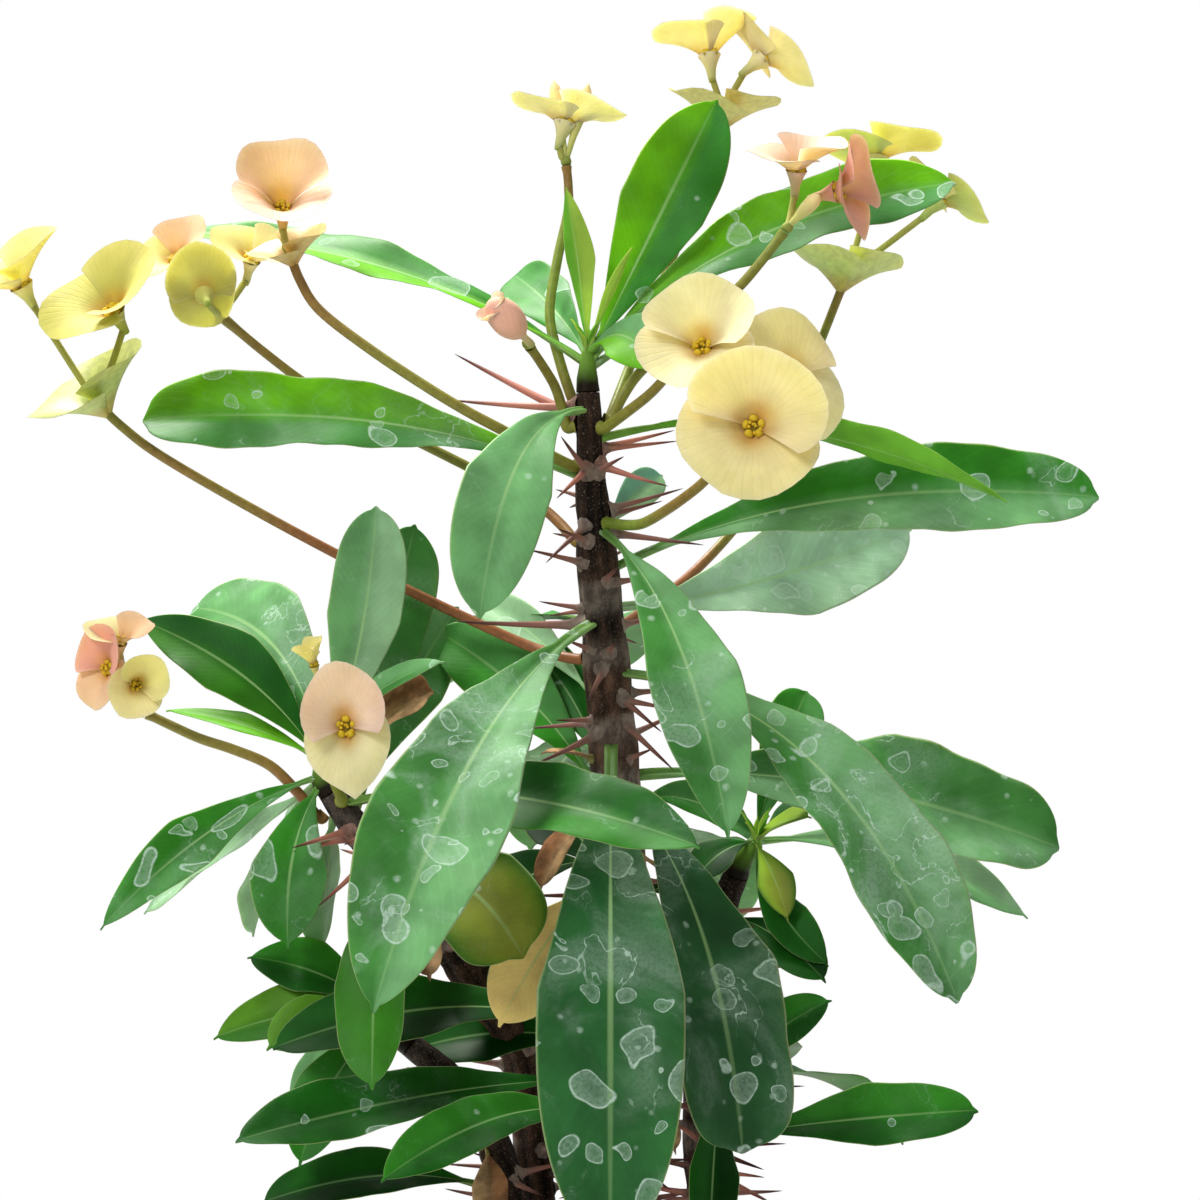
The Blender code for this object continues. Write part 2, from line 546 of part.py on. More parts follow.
def spines_of(stem_name, others, draw):
    """A stem's spines, in pairs that climb it by the golden angle, left out where one would touch a leaf, a
    stalk or another stem, and its long ones."""
    low, high = SOIL_TOP + 14, STEMS[stem_name].path[-1][2] - 5
    wanted = []
    for index in range(int((high - low) / SPINE_STEP)):
        for side in (-1, 1):
            angle = index * GOLDEN_ANGLE + side * 0.42 + draw.uniform(-0.12, 0.12)
            out = Vector((math.cos(angle), math.sin(angle), draw.uniform(-0.25, 0.3))).normalized()
            wanted.append((low + index * SPINE_STEP, out, draw.uniform(10, 22)))
    for name, height, tip in LONG_SPINES:
        if name == stem_name:
            core, _, radius = stem_at(stem_name, height)
            way = Vector(tip) - core
            wanted.append((height, way.normalized(), way.length - radius))
    pieces = []
    for height, out, length in wanted:
        core, _, radius = stem_at(stem_name, height)
        reach = np.array([list(core + out * (radius + length * k / 8)) for k in range(9)])
        gaps = np.linalg.norm(reach[:, None, :] - others[None, :, :], axis=2)
        if gaps.min() > SPINE_CLEARANCE:
            pieces.append(spine(stem_name, height, out, length))
    return pieces


def make_stems(collection):
    draw = random.Random(SPINE_SEED)
    blades = blade_points()
    for name in STEMS:
        others = [blades]
        for other_name, other in STEMS.items():
            if other_name != name:
                line, radii = stem_line(other)
                ring = [a.lerp(b, k / 4) + Vector((math.cos(turn), math.sin(turn), 0)) * (radius + 1)
                        for a, b, radius in zip(line, line[1:], radii) for k in range(4)
                        for turn in (0, 0.8, 1.6, 2.4, 3.1, 3.9, 4.7, 5.5)]
                others.append(np.array([list(p) for p in ring]))
        line, radii = stem_line(STEMS[name])
        pieces = [tube("bark", line, radii, 2)]
        pieces += spines_of(name, np.concatenate(others), draw)
        fused(name, pieces, collection, BARK)


def turned(name, profile, collection, finish, steps):
    """A profile of radius and height, run from top to bottom on its outside, turned round the Z axis."""
    mesh = bpy.data.meshes.new(name)
    places = [(r * MM, 0, z * MM) for r, z in profile]
    mesh.from_pydata(places, [(i, i + 1) for i in range(len(places) - 1)], [])
    obj = add_object(name, mesh, collection, finish)
    screw = obj.modifiers.new("Turned", "SCREW")
    screw.axis = "Z"
    screw.steps = steps
    screw.render_steps = steps
    screw.use_merge_vertices = True
    screw.merge_threshold = 0.00001
    return obj


def cutter(name, foot, top, radius, cutters, target):
    """A round bar that cuts its way out of the target."""
    bar = cone(foot, top, radius, radius, 12)
    bar.name = name
    bar.hide_render = True
    bar.display_type = "WIRE"
    bpy.context.scene.collection.objects.unlink(bar)
    cutters.objects.link(bar)
    cut = target.modifiers.new(name, "BOOLEAN")
    cut.operation = "DIFFERENCE"
    cut.object = bar


def make_pot(collection, cutters):
    """A plain tapered clay pot with a stepped rim and drain holes round the middle of its floor."""
    inner_top = POT_TOP_RADIUS - POT_WALL
    inner_base = POT_BASE_RADIUS - POT_WALL
    under_rim = POT_HEIGHT - RIM_HEIGHT
    rim = POT_TOP_RADIUS + RIM_STEP
    profile = [
        (0, POT_FLOOR), (inner_base, POT_FLOOR), (inner_top, POT_HEIGHT - 8), (inner_top + 1, POT_HEIGHT),
        (rim - 1, POT_HEIGHT), (rim, POT_HEIGHT - 1.2), (rim - 1.2, under_rim), (POT_TOP_RADIUS - 2, under_rim),
        (POT_BASE_RADIUS + 0.4, 1.5), (POT_BASE_RADIUS - 1, 0), (0, 0),
    ]
    pot = turned("pot", profile, collection, CLAY, 24)
    for index in range(DRAIN_HOLES):
        angle = 2 * math.pi * index / DRAIN_HOLES
        x, y = DRAIN_RING * math.cos(angle), DRAIN_RING * math.sin(angle)
        cutter(f"drain_hole_{index + 1}", (x, y, -4), (x, y, POT_FLOOR + 4), DRAIN_RADIUS, cutters, pot)


def make_soil(collection, cutters):
    """The soil fills the pot to a little below its rim, with a plain hole for each stem."""
    inner_base = POT_BASE_RADIUS - POT_WALL - SEAT_GAP
    inner_top = POT_TOP_RADIUS - POT_WALL - SEAT_GAP
    share = (SOIL_TOP - POT_FLOOR) / (POT_HEIGHT - 8 - POT_FLOOR)
    edge = inner_base + (inner_top - inner_base) * share
    profile = [(0, SOIL_TOP + SOIL_DOME), (22, SOIL_TOP + 3.4), (44, SOIL_TOP + 1.8), (edge, SOIL_TOP),
               (inner_base, POT_FLOOR + SEAT_GAP), (0, POT_FLOOR + SEAT_GAP)]
    soil = turned("soil", profile, collection, EARTH, 24)
    for name, stem in STEMS.items():
        x, y, _ = stem.path[0]
        cutter(name + "_hole", (x, y, STEM_FOOT - SEAT_GAP), (x, y, SOIL_TOP + 20),
               stem.radii[0] + 2 * SEAT_GAP, cutters, soil)


def main():
    clear_scene()
    plant = new_collection("Crown of thorns plant")
    cutters = new_collection("Cutters")
    make_pot(plant, cutters)
    make_soil(plant, cutters)
    make_stems(plant)
    make_shoots(plant)
    make_single_leaves(plant)
    make_heads(plant)


main()
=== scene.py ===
# %% [markdown]
# # A crown of thorns plant
#
# This lesson gives a potted crown of thorns plant its looks. Each coarse solid of the plant is replaced with a
# finer piece of the same form: leaves are surfaces with a fold, a midrib and a waved edge, flower heads are pairs
# of cupped bracts round a ring of glands, and stems carry long curved spines on grey shields. All sizes in the
# tables are in millimetres, and MM turns them to metres.

# %% [markdown]
# ## The frame
#
# The imported model is loaded first.

import json
import math

import bmesh
import bpy
import numpy as np
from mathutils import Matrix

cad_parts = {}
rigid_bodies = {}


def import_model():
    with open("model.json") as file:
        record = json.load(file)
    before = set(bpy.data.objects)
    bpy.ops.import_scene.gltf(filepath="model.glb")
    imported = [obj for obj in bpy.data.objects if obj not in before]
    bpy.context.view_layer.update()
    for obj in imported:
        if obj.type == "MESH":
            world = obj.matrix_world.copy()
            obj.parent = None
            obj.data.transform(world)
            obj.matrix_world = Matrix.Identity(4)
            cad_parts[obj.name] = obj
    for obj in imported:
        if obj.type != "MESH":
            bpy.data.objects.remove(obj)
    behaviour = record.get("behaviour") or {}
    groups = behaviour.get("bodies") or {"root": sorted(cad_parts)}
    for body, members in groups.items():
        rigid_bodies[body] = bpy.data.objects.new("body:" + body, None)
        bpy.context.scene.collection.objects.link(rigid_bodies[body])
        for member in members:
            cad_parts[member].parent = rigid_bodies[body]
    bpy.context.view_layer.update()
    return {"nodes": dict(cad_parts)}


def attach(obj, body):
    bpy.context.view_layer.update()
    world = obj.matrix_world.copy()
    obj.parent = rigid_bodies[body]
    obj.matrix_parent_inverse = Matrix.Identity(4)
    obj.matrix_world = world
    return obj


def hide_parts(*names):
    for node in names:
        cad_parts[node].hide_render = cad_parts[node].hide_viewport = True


MM = 0.001
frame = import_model()
chance = np.random.default_rng(21)
print("frame loaded with", len(frame["nodes"]), "nodes")

# %% [markdown]
# ## The camera and the light
#
# The plant was photographed level, from about 0.9 m, against plain white. A white world gives soft light from all
# sides, a broad lamp overhead makes the leaves glow from behind, and a weaker one in front gives them their sheen.

# %%
EYE_HEIGHT = 355
EYE_DISTANCE = 900
LENS = 81
SKY_LIGHT = 0.5


def aimed_lamp(name, place, target, size, power, colour):
    """An area lamp at place that faces target, both in millimetres."""
    lamp = bpy.data.lights.new(name, "AREA")
    lamp.shape = "DISK"
    lamp.size = size * MM
    lamp.energy = power
    lamp.color = colour
    made = bpy.data.objects.new(name, lamp)
    made.location = np.array(place) * MM
    way = bpy.data.objects.new(name + "_aim", None).location.copy()
    way.xyz = (np.array(target) - np.array(place)) * MM
    made.rotation_euler = way.to_track_quat("-Z", "Y").to_euler()
    bpy.context.scene.collection.objects.link(made)
    return made


camera = bpy.data.objects.new("camera", bpy.data.cameras.new("camera"))
camera.data.lens = LENS
camera.data.sensor_width = 36
camera.location = (0, -EYE_DISTANCE * MM, EYE_HEIGHT * MM)
camera.rotation_euler = (math.pi / 2, 0, 0)
bpy.context.scene.collection.objects.link(camera)
bpy.context.scene.camera = camera
bpy.context.scene.view_settings.view_transform = "Standard"

world = bpy.data.worlds.new("white studio")
world.use_nodes = True
sky = world.node_tree
seen = sky.nodes.new("ShaderNodeLightPath").outputs["Is Camera Ray"]
strength = sky.nodes.new("ShaderNodeMapRange")
strength.inputs["To Min"].default_value = SKY_LIGHT
strength.inputs["To Max"].default_value = 1.0
sky.links.new(seen, strength.inputs["Value"])
sky.links.new(strength.outputs["Result"], sky.nodes["Background"].inputs["Strength"])
sky.nodes["Background"].inputs["Color"].default_value = (1, 1, 1, 1)
bpy.context.scene.world = world
aimed_lamp("overhead lamp", (-350, 420, 1500), (0, 0, 350), 520, 30, (1.0, 0.98, 0.92))
aimed_lamp("front lamp", (-700, -900, 1200), (0, 0, 350), 500, 9, (0.97, 0.99, 1.0))
print("camera, world and two lamps")

# %% [markdown]
# ## Colours and directions
#
# Everything is worked out with numpy on whole arrays of points. Noise, which is smooth and looks random, gives leaves
# and bark their uneven colours.

# %%


def rgb(code):
    """A colour such as #a0b0c0 as linear red, green and blue."""
    values = np.array([int(code[i:i + 2], 16) for i in (1, 3, 5)]) / 255
    return np.where(values <= 0.04045, values / 12.92, ((values + 0.055) / 1.055) ** 2.4)


def unit(vectors):
    """The vectors at length one."""
    return vectors / np.maximum(np.linalg.norm(vectors, axis=-1, keepdims=True), 1e-9)


def square_to(direction, wanted):
    """The part of wanted that is square to direction, at unit length."""
    return unit(wanted - direction * np.sum(direction * wanted, axis=-1, keepdims=True))


def mix(a, b, share):
    """a where share is 0, b where it is 1."""
    return a + (b - a) * share


def step(low, high, value):
    """0 below low, 1 above high and a smooth rise 3x^2 - 2x^3 between."""
    x = np.clip((value - low) / (high - low), 0, 1)
    return x * x * (3 - 2 * x)


def noise(points, size, seed=0):
    """Smooth noise from 0 to 1 with lumps of the given size: random values on a lattice, blended between."""
    place = np.asarray(points) / size + seed * 17.3
    cell = np.floor(place).astype(np.int64)
    inside = place - cell
    inside = inside * inside * (3 - 2 * inside)
    total = 0
    for corner in np.ndindex(2, 2, 2):
        x, y, z = (cell[..., i] + corner[i] for i in range(3))
        value = ((x * 73856093) ^ (y * 19349663) ^ (z * 83492791)) & 0xFFFFF
        value = ((value * 1103515245 + 12345) & 0xFFFFF) / 0xFFFFF
        weight = np.prod([inside[..., i] if corner[i] else 1 - inside[..., i] for i in range(3)], axis=0)
        total = total + value * weight
    return total


print("tools for colours and directions ready")

# %% [markdown]
# ## Patches and pieces
#
# A patch is a grid of points with a place on the leaf or bract (uv) and a colour at each point. Many patches are
# put in one mesh, so that a whole leafy shoot is one piece.

# %%


def patch(points, tint, uv=None, wrap=True, rough=0.0):
    """A grid of points in millimetres, shaped rows by columns by 3, with a colour and a uv at each. wrap joins the
    last column to the first. rough is kept as a number that the materials read."""
    points = np.asarray(points, float)
    rows, columns = points.shape[:2]
    if uv is None:
        uv = np.stack(np.meshgrid(np.linspace(0, 1, columns), np.linspace(0, 1, rows)), axis=-1)
    i = np.arange(rows - 1)[:, None] * columns
    j = np.arange(columns if wrap else columns - 1)[None, :]
    right = (j + 1) % columns
    faces = np.stack([i + j, i + right, i + right + columns, i + j + columns], axis=-1).reshape(-1, 4)
    return {
        "points": points.reshape(-1, 3), "faces": faces, "uv": np.broadcast_to(uv, (rows, columns, 2)).reshape(-1, 2),
        "tint": np.broadcast_to(tint, (rows, columns, 3)).reshape(-1, 3),
        "rough": np.broadcast_to(rough, (rows, columns)).reshape(-1),
    }


def build(name, patches, material, node):
    """One mesh object from many patches. It takes the place of a node of the model, if one is named."""
    starts = np.cumsum([0] + [len(p["points"]) for p in patches])
    faces = np.concatenate([p["faces"] + start for p, start in zip(patches, starts)])
    joined = {key: np.concatenate([p[key] for p in patches]) for key in ("points", "uv", "tint", "rough")}
    mesh = bpy.data.meshes.new(name)
    mesh.from_pydata(joined["points"] * MM, [], faces)
    tidy = bmesh.new()
    tidy.from_mesh(mesh)
    bmesh.ops.recalc_face_normals(tidy, faces=tidy.faces)
    tidy.to_mesh(mesh)
    tidy.free()
    corners = np.empty(len(mesh.loops), np.int32)
    mesh.loops.foreach_get("vertex_index", corners)
    mesh.uv_layers.new(name="UVMap").data.foreach_set("uv", joined["uv"][corners].ravel())
    tint = mesh.color_attributes.new("tint", "FLOAT_COLOR", "POINT")
    tint.data.foreach_set("color", np.column_stack([joined["tint"], np.ones(len(joined["tint"]))]).ravel())
    mesh.attributes.new("rough", "FLOAT", "POINT").data.foreach_set("value", joined["rough"])
    mesh.polygons.foreach_set("use_smooth", np.ones(len(mesh.polygons), bool))
    mesh.materials.append(material)
    piece = bpy.data.objects.new(name, mesh)
    bpy.context.scene.collection.objects.link(piece)
    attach(piece, "root")
    if node:
        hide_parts(node)
    return piece


print("tools for pieces ready")

# %% [markdown]
# ## Tubes and turned shapes
#
# A stalk or a spine is a ring carried along a line. A cup or a pot is a profile turned round an axis.

# %%


def curve_through(knots, per_span):
    """Points on a smooth curve through the knots: a Catmull-Rom spline, per_span points to a span."""
    knots = np.asarray(knots, float)
    ends = np.vstack([2 * knots[:1] - knots[1:2], knots, 2 * knots[-1:] - knots[-2:-1]])
    t = (np.arange(per_span) / per_span)[:, None]
    a, b, c, d = (ends[i:len(ends) - 3 + i, None, :] for i in range(4))
    places = 0.5 * (2 * b + (c - a) * t + (2 * a - 5 * b + 4 * c - d) * t ** 2 + (3 * b - a - 3 * c + d) * t ** 3)
    return np.vstack([places.reshape(-1, 3), knots[-1:]])


def sweep(line, radii, sides):
    """Rings of points round a line, rows along it by sides by 3, and each point's direction out of the line."""
    line = np.asarray(line, float)
    ahead = unit(np.gradient(line, axis=0))
    across = [square_to(ahead[0], np.array([0.9, 0.3, 0.2]))]
    for way in ahead[1:]:
        across.append(square_to(way, across[-1]))
    across = np.array(across)[:, None, :]
    other = np.cross(ahead[:, None, :], across)
    turn = np.linspace(0, 2 * math.pi, sides, endpoint=False)[None, :, None]
    out = across * np.cos(turn) + other * np.sin(turn)
    radii = np.asarray(radii, float)
    radii = radii[:, None, None] if radii.ndim == 1 else radii[..., None]
    return line[:, None, :] + out * radii, out


def turned(profile, foot, axis, sides):
    """A profile of radius and height, turned round an axis from a foot."""
    profile = np.asarray(profile, float)
    axis = unit(np.asarray(axis, float))
    across = square_to(axis, np.array([0.8, 0.5, 0.31]))
    other = np.cross(axis, across)
    turn = np.linspace(0, 2 * math.pi, sides, endpoint=False)[None, :, None]
    ring = across * np.cos(turn) + other * np.sin(turn)
    return np.asarray(foot) + profile[:, None, 1:2] * axis + profile[:, None, 0:1] * ring


def ball(centre, axis, long_radius, radius, tint, rows=8, sides=10):
    """A small egg shape along an axis."""
    angle = np.linspace(0, math.pi, rows)
    profile = np.stack([radius * np.sin(angle), -long_radius * np.cos(angle)], axis=-1)
    return patch(turned(profile, centre, axis, sides), tint)


print("tools for tubes ready")

# %% [markdown]
# ## Adding nodes
#
# A material is a tree of nodes. Here one small function adds a node: its kind and mode come first, as in
# "Math ADD", then its inputs by their place, or by their name with a capital letter, and its settings in small letters.

# %%
MODES = {"Math": "operation", "VectorMath": "operation", "MapRange": "interpolation_type"}
RISE = "MapRange SMOOTHSTEP"


def adder(tree):
    """The function that adds a node to a tree and gives one of its outputs, which may feed the next node."""

    def add(kind, *inputs, out=0, at=None, **named):
        kind, _, mode = kind.partition(" ")
        made = tree.nodes.new("ShaderNode" + kind)
        if mode:
            setattr(made, MODES[kind], mode)
        sockets = {**dict(enumerate(inputs)), **(at or {})}
        for key, value in named.items():
            if key.islower():
                setattr(made, key, value)
            else:
                sockets[key] = value
        for key, value in sockets.items():
            if isinstance(value, bpy.types.NodeSocket):
                tree.links.new(value, made.inputs[key])
            else:
                made.inputs[key].default_value = value
        return made.outputs[out]

    return add


def start_material(name, roughness, bleed=0.0, depth=1.0, gloss=0.5):
    """A material, the function that adds its nodes, its mesh colour and its object coordinates. bleed is how much
    light goes through a thin blade, depth how far in millimetres, and gloss how strongly the surface mirrors."""
    made = bpy.data.materials.new(name)
    made.use_nodes = True
    values = {"Roughness": roughness, "Subsurface Weight": bleed, "Subsurface Radius": (1.0, 1.0, 0.45),
              "Subsurface Scale": depth * MM, "Specular IOR Level": gloss}
    for key, value in values.items():
        made.node_tree.nodes["Principled BSDF"].inputs[key].default_value = value
    add = adder(made.node_tree)
    return made, add, add("VertexColor", layer_name="tint"), add("TexCoord", out="Object")


def finish_material(made, colour, height, distance, strength, roughness=None):
    """The material with its colour, the bump of its height and, where it varies, its roughness."""
    bump = adder(made.node_tree)("Bump", Height=height, Distance=distance, Strength=strength)
    shader = made.node_tree.nodes["Principled BSDF"]
    for key, value in {"Base Color": colour, "Normal": bump, "Roughness": roughness}.items():
        if value:
            made.node_tree.links.new(value, shader.inputs[key])
    return made


print("node tools ready")

# %% [markdown]
# ## The leaf's material
#
# Every surface takes its main colour from the mesh, where each leaf has its own. The material adds what is finer
# than the mesh. A crown of thorns leaf is waxy and half matt, with a pale midrib and faint side veins. Hard water
# dries on it in chalky rings, whose edges are the palest, so they are drawn at a distance from scattered middles.

# %%


def spots(add, place, size, wobble, seed):
    """Distance from the nearest of many scattered middles, and a random number for each spot. size is the mean
    spacing in metres, and wobble bends the spots out of round."""
    bent = add("TexNoise", Vector=place, Scale=1.1 / size, Detail=1.0, out="Color")
    moved = add("VectorMath ADD", place, add("VectorMath MULTIPLY", bent, (wobble * size,) * 3))
    moved = add("VectorMath ADD", moved, (seed, seed * 0.7, seed * 0.3))
    far = add("TexVoronoi", Vector=moved, Scale=1 / size, feature="F1")
    return far, add("SeparateColor", far.node.outputs["Color"])


def water_marks(add, place, size, seed, chalk, share):
    """Marks of dried drops: thin pale outlines round a faint haze. size is their mean spacing in metres, and share how
    many of them the chalkiest leaf has. Each mark's own random number sets how large it is."""
    far, pick = spots(add, place, size, 0.9, seed)
    shown = add("Math LESS_THAN", pick, add("Math MULTIPLY", chalk, share))
    edge_at = add("Math MULTIPLY_ADD", add("Math FRACT", add("Math MULTIPLY", pick, 37.0)), 0.24, 0.13)
    edge = add("Math ABSOLUTE", add("Math SUBTRACT", far, edge_at))
    inner = add("Math ABSOLUTE", add("Math SUBTRACT", far, add("Math MULTIPLY", edge_at, 0.62)))
    outline = add("Math MAXIMUM", add(RISE, edge, 0.004, 0.028, 0.75, 0.0), add(RISE, inner, 0.004, 0.03, 0.3, 0.0))
    haze = add("Math MULTIPLY", add("Math LESS_THAN", far, edge_at), add(RISE, far, 0.0, 0.4, 0.12, 0.34))
    return add("Math MULTIPLY", add("Math MAXIMUM", outline, haze), shown)


def leaf_material():
    """A waxy leaf: a pale midrib, faint side veins, a thin pale rim of painted rim light, mottling, and chalky rings
    and runs where hard water dried. The mesh's rough number says how chalky a leaf is."""
    made, add, tint, place = start_material("waxy leaf", 0.5, bleed=0.22, depth=1.2, gloss=0.12)
    across, along = add("SeparateXYZ", add("UVMap")).node.outputs[:2]
    side = add("Math ABSOLUTE", add("Math MULTIPLY_ADD", across, 2.0, -1.0))
    chalk = add("Attribute", attribute_name="rough", out="Fac")
    mottle = add("TexNoise", Vector=place, Scale=70.0, Detail=5.0)
    rows = add("Math SUBTRACT", add("Math MULTIPLY", along, 30.0), add("Math MULTIPLY", side, 5.0))
    rows = add("Math ADD", rows, add("Math MULTIPLY", mottle, 0.8))
    vein = add(RISE, add("Math PINGPONG", rows, 0.5), 0.0, 0.16, 1.0, 0.0)
    shade = add("Math MULTIPLY", add(RISE, mottle, 0.3, 0.7, 0.80, 1.16), add("Math MULTIPLY_ADD", vein, 0.07, 1.0))
    colour = add("VectorMath SCALE", tint, Scale=shade)
    rib = add("Math MULTIPLY", add(RISE, side, 0.012, 0.06, 1.0, 0.0), add(RISE, along, 0.3, 0.95, 0.7, 0.2))
    # Painted rim light: a thin pale line along the leaf's edge.
    rim = add(RISE, side, 0.965, 0.995, 0.0, 0.5)
    rings = add("Math MAXIMUM", water_marks(add, place, 0.019, 0.31, chalk, 0.85),
                water_marks(add, place, 0.010, 0.57, chalk, 0.55))
    far, pick = spots(add, place, 0.0055, 0.3, 0.77)
    drop = add("Math MULTIPLY", add(RISE, far, 0.1, 0.3, 0.5, 0.0),
               add("Math GREATER_THAN", add("Math MULTIPLY", chalk, 0.3), pick))
    film = add("TexNoise", Vector=place, Scale=28.0, Detail=5.0, Distortion=1.2)
    film = add("Math MULTIPLY", add(RISE, film, 0.45, 0.72, 0.0, 0.35), chalk)
    residue = add("Math MAXIMUM", rings, add("Math MAXIMUM", drop, film))
    tide = add("TexNoise", Vector=place, Scale=62.0, Detail=4.0, Distortion=0.5)
    tide = add(RISE, add("Math ABSOLUTE", add("Math SUBTRACT", tide, 0.56)), 0.001, 0.011, 0.75, 0.0)
    tide = add("Math MULTIPLY", tide, add("Math MULTIPLY", film, 7.0, use_clamp=True))
    grain = add("TexNoise", Vector=place, Scale=900.0, Detail=2.0)
    residue = add("Math MULTIPLY", add("Math MAXIMUM", residue, tide), add(RISE, grain, 0.25, 0.6, 0.5, 1.0),
                  use_clamp=True)
    # Mixed in: the pale midrib and the chalky residue, which the leaf has, and the painted rim light.
    for share, code in ((rib, "#a8cf8a"), (rim, "#b5c98a"), (residue, "#c4dccb")):
        colour = add("Mix", at={0: share, 6: colour, 7: (*rgb(code), 1)}, out=2, data_type="RGBA")
    height = add("Math MULTIPLY_ADD", vein, -0.12, add("Math MULTIPLY", residue, 0.5))
    height = add("Math MULTIPLY_ADD", mottle, 0.8, height)
    return finish_material(made, colour, height, 0.00025, 0.5, add("Math MULTIPLY_ADD", residue, 0.35, 0.46))


LEAF = leaf_material()
print("made", LEAF.name)

# %% [markdown]
# ## The bracts' material
#
# A bract is as thin as paper and lets light through, so that it glows from behind. Its fine veins fan out from its
# foot, which the bearing of each place from the foot gives.

# %%


def bract_material():
    """A thin bract: its mesh colour, with fine veins that fan out from its foot and a little mottling."""
    made, add, tint, place = start_material("thin bract", 0.6, bleed=0.45, depth=1.6, gloss=0.15)
    u, v = add("SeparateXYZ", add("UVMap")).node.outputs[:2]
    bearing = add("Math ARCTAN2", add("Math MULTIPLY_ADD", u, 2.0, -1.0), add("Math ADD", v, 0.02))
    wander = add("TexNoise", Vector=place, Scale=130.0, Detail=3.0)
    fan = add("Math MULTIPLY_ADD", bearing, 7.0, add("Math MULTIPLY", wander, 0.7))
    vein = add(RISE, add("Math PINGPONG", fan, 0.5), 0.0, 0.16, 1.0, 0.0)
    colour = add("VectorMath SCALE", tint, Scale=add(RISE, wander, 0.3, 0.7, 0.93, 1.06))
    darker = add("VectorMath MULTIPLY", colour, (0.90, 0.80, 0.58))
    share = add("Math MULTIPLY", vein, 0.14)
    colour = add("Mix", at={0: share, 6: colour, 7: darker}, out=2, data_type="RGBA")
    return finish_material(made, colour, add("Math MULTIPLY_ADD", vein, -0.6, wander), 0.0002, 0.4)


BRACT = bract_material()
print("made", BRACT.name)

# %% [markdown]
# ## Bark and clay
#
# Old bark is dull and cracked lengthwise, with grey specks of cork, and its spines are smoother. Unglazed clay is
# matt, with rings from the thrower's hands and a white bloom of salts from the water.

# %%


def bark_material():
    """Woody stem and spines: mesh colour, long fissures, specks of grey and a rough grain that is stronger where
    the mesh's rough number is high."""
    made, add, tint, place = start_material("thorny bark", 0.72, gloss=0.18)
    rough = add("Attribute", attribute_name="rough", out="Fac")
    long_way = add("Mapping", Vector=place, Scale=(1.0, 1.0, 0.5))
    fissure = add("TexNoise", Vector=long_way, Scale=300.0, Detail=6.0, Roughness=0.7)
    speck = add("TexNoise", Vector=place, Scale=1500.0, Detail=3.0)
    shade = add("Math SUBTRACT", add(RISE, fissure, 0.35, 0.68, 0.45, 1.5), 1.0)
    shade = add("Math ADD", add("Math MULTIPLY", shade, rough), 1.0)
    grey = add("Math MULTIPLY", add(RISE, speck, 0.56, 0.72, 0.0, 0.5), rough)
    colour = add("Mix", at={0: grey, 6: add("VectorMath SCALE", tint, Scale=shade), 7: (*rgb("#8d7a6c"), 1)}, out=2,
                 data_type="RGBA")
    height = add("Math MULTIPLY", add("Math MULTIPLY_ADD", speck, 0.3, fissure), rough)
    return finish_material(made, colour, height, 0.0012, 0.8, add("Math MULTIPLY_ADD", rough, 0.38, 0.42))


def clay_material():
    """Unglazed clay with thrower's rings, a chalky bloom and fine grit."""
    made, add, tint, place = start_material("unglazed clay", 0.85, gloss=0.25)
    bloom = add("TexNoise", Vector=place, Scale=22.0, Detail=6.0, Roughness=0.6)
    grit = add("TexNoise", Vector=place, Scale=1400.0, Detail=2.0)
    flat = add("Mapping", Vector=place, Scale=(0.05, 0.05, 1.0))
    rings = add("TexNoise", Vector=flat, Scale=420.0, Detail=3.0)
    colour = add("VectorMath SCALE", tint, Scale=add(RISE, grit, 0.3, 0.7, 0.88, 1.1))
    salt = add(RISE, bloom, 0.5, 0.75, 0.0, 0.45)
    colour = add("Mix", at={0: salt, 6: colour, 7: (*rgb("#d9b9a0"), 1)}, out=2, data_type="RGBA")
    return finish_material(made, colour, add("Math MULTIPLY_ADD", rings, 1.2, grit), 0.0003, 0.6)


BARK, CLAY = bark_material(), clay_material()
print("made", BARK.name, "and", CLAY.name)

# %% [markdown]
# ## Stalks, dead leaves and soil
#
# These three differ in gloss and in the size and depth of one grain: fine streaks on a smooth green stalk, brown
# blotches and wrinkles on a leaf that has turned to paper, and dark crumbs in potting soil.

# %%


def grained_material(name, roughness, gloss, bleed, grain, edges, shades, distance, strength):
    """The mesh colour times one noise, which goes over its edges from the first shade to the second and is the
    bump's height too."""
    made, add, tint, place = start_material(name, roughness, bleed, gloss=gloss)
    height = add("TexNoise", Vector=place, **grain)
    colour = add("VectorMath SCALE", tint, Scale=add(RISE, height, *edges, *shades))
    return finish_material(made, colour, height, distance, strength)


STALK = grained_material("flower stalk", 0.42, 0.3, 0.2, {"Scale": 420.0, "Detail": 4.0}, (0.3, 0.7), (0.88, 1.12),
                         0.0003, 0.35)
DRY = grained_material("dry leaf", 0.85, 0.1, 0.1, {"Scale": 180.0, "Detail": 5.0}, (0.3, 0.7), (0.55, 1.3),
                       0.0015, 0.8)
SOIL = grained_material("potting soil", 0.95, 0.1, 0.0, {"Scale": 260.0, "Detail": 8.0, "Roughness": 0.7},
                        (0.35, 0.65), (0.5, 1.7), 0.002, 0.9)
print("made", STALK.name + ",", DRY.name, "and", SOIL.name)

# %% [markdown]
# ## The stems' plan
#
# Five woody stems carry the plant, each a line with a radius at each of its points. X runs to the right of the
# photograph, Y away from the camera and Z up from the pot's underside. Whatever grows from a stem starts just off its
# skin, as its solid does.

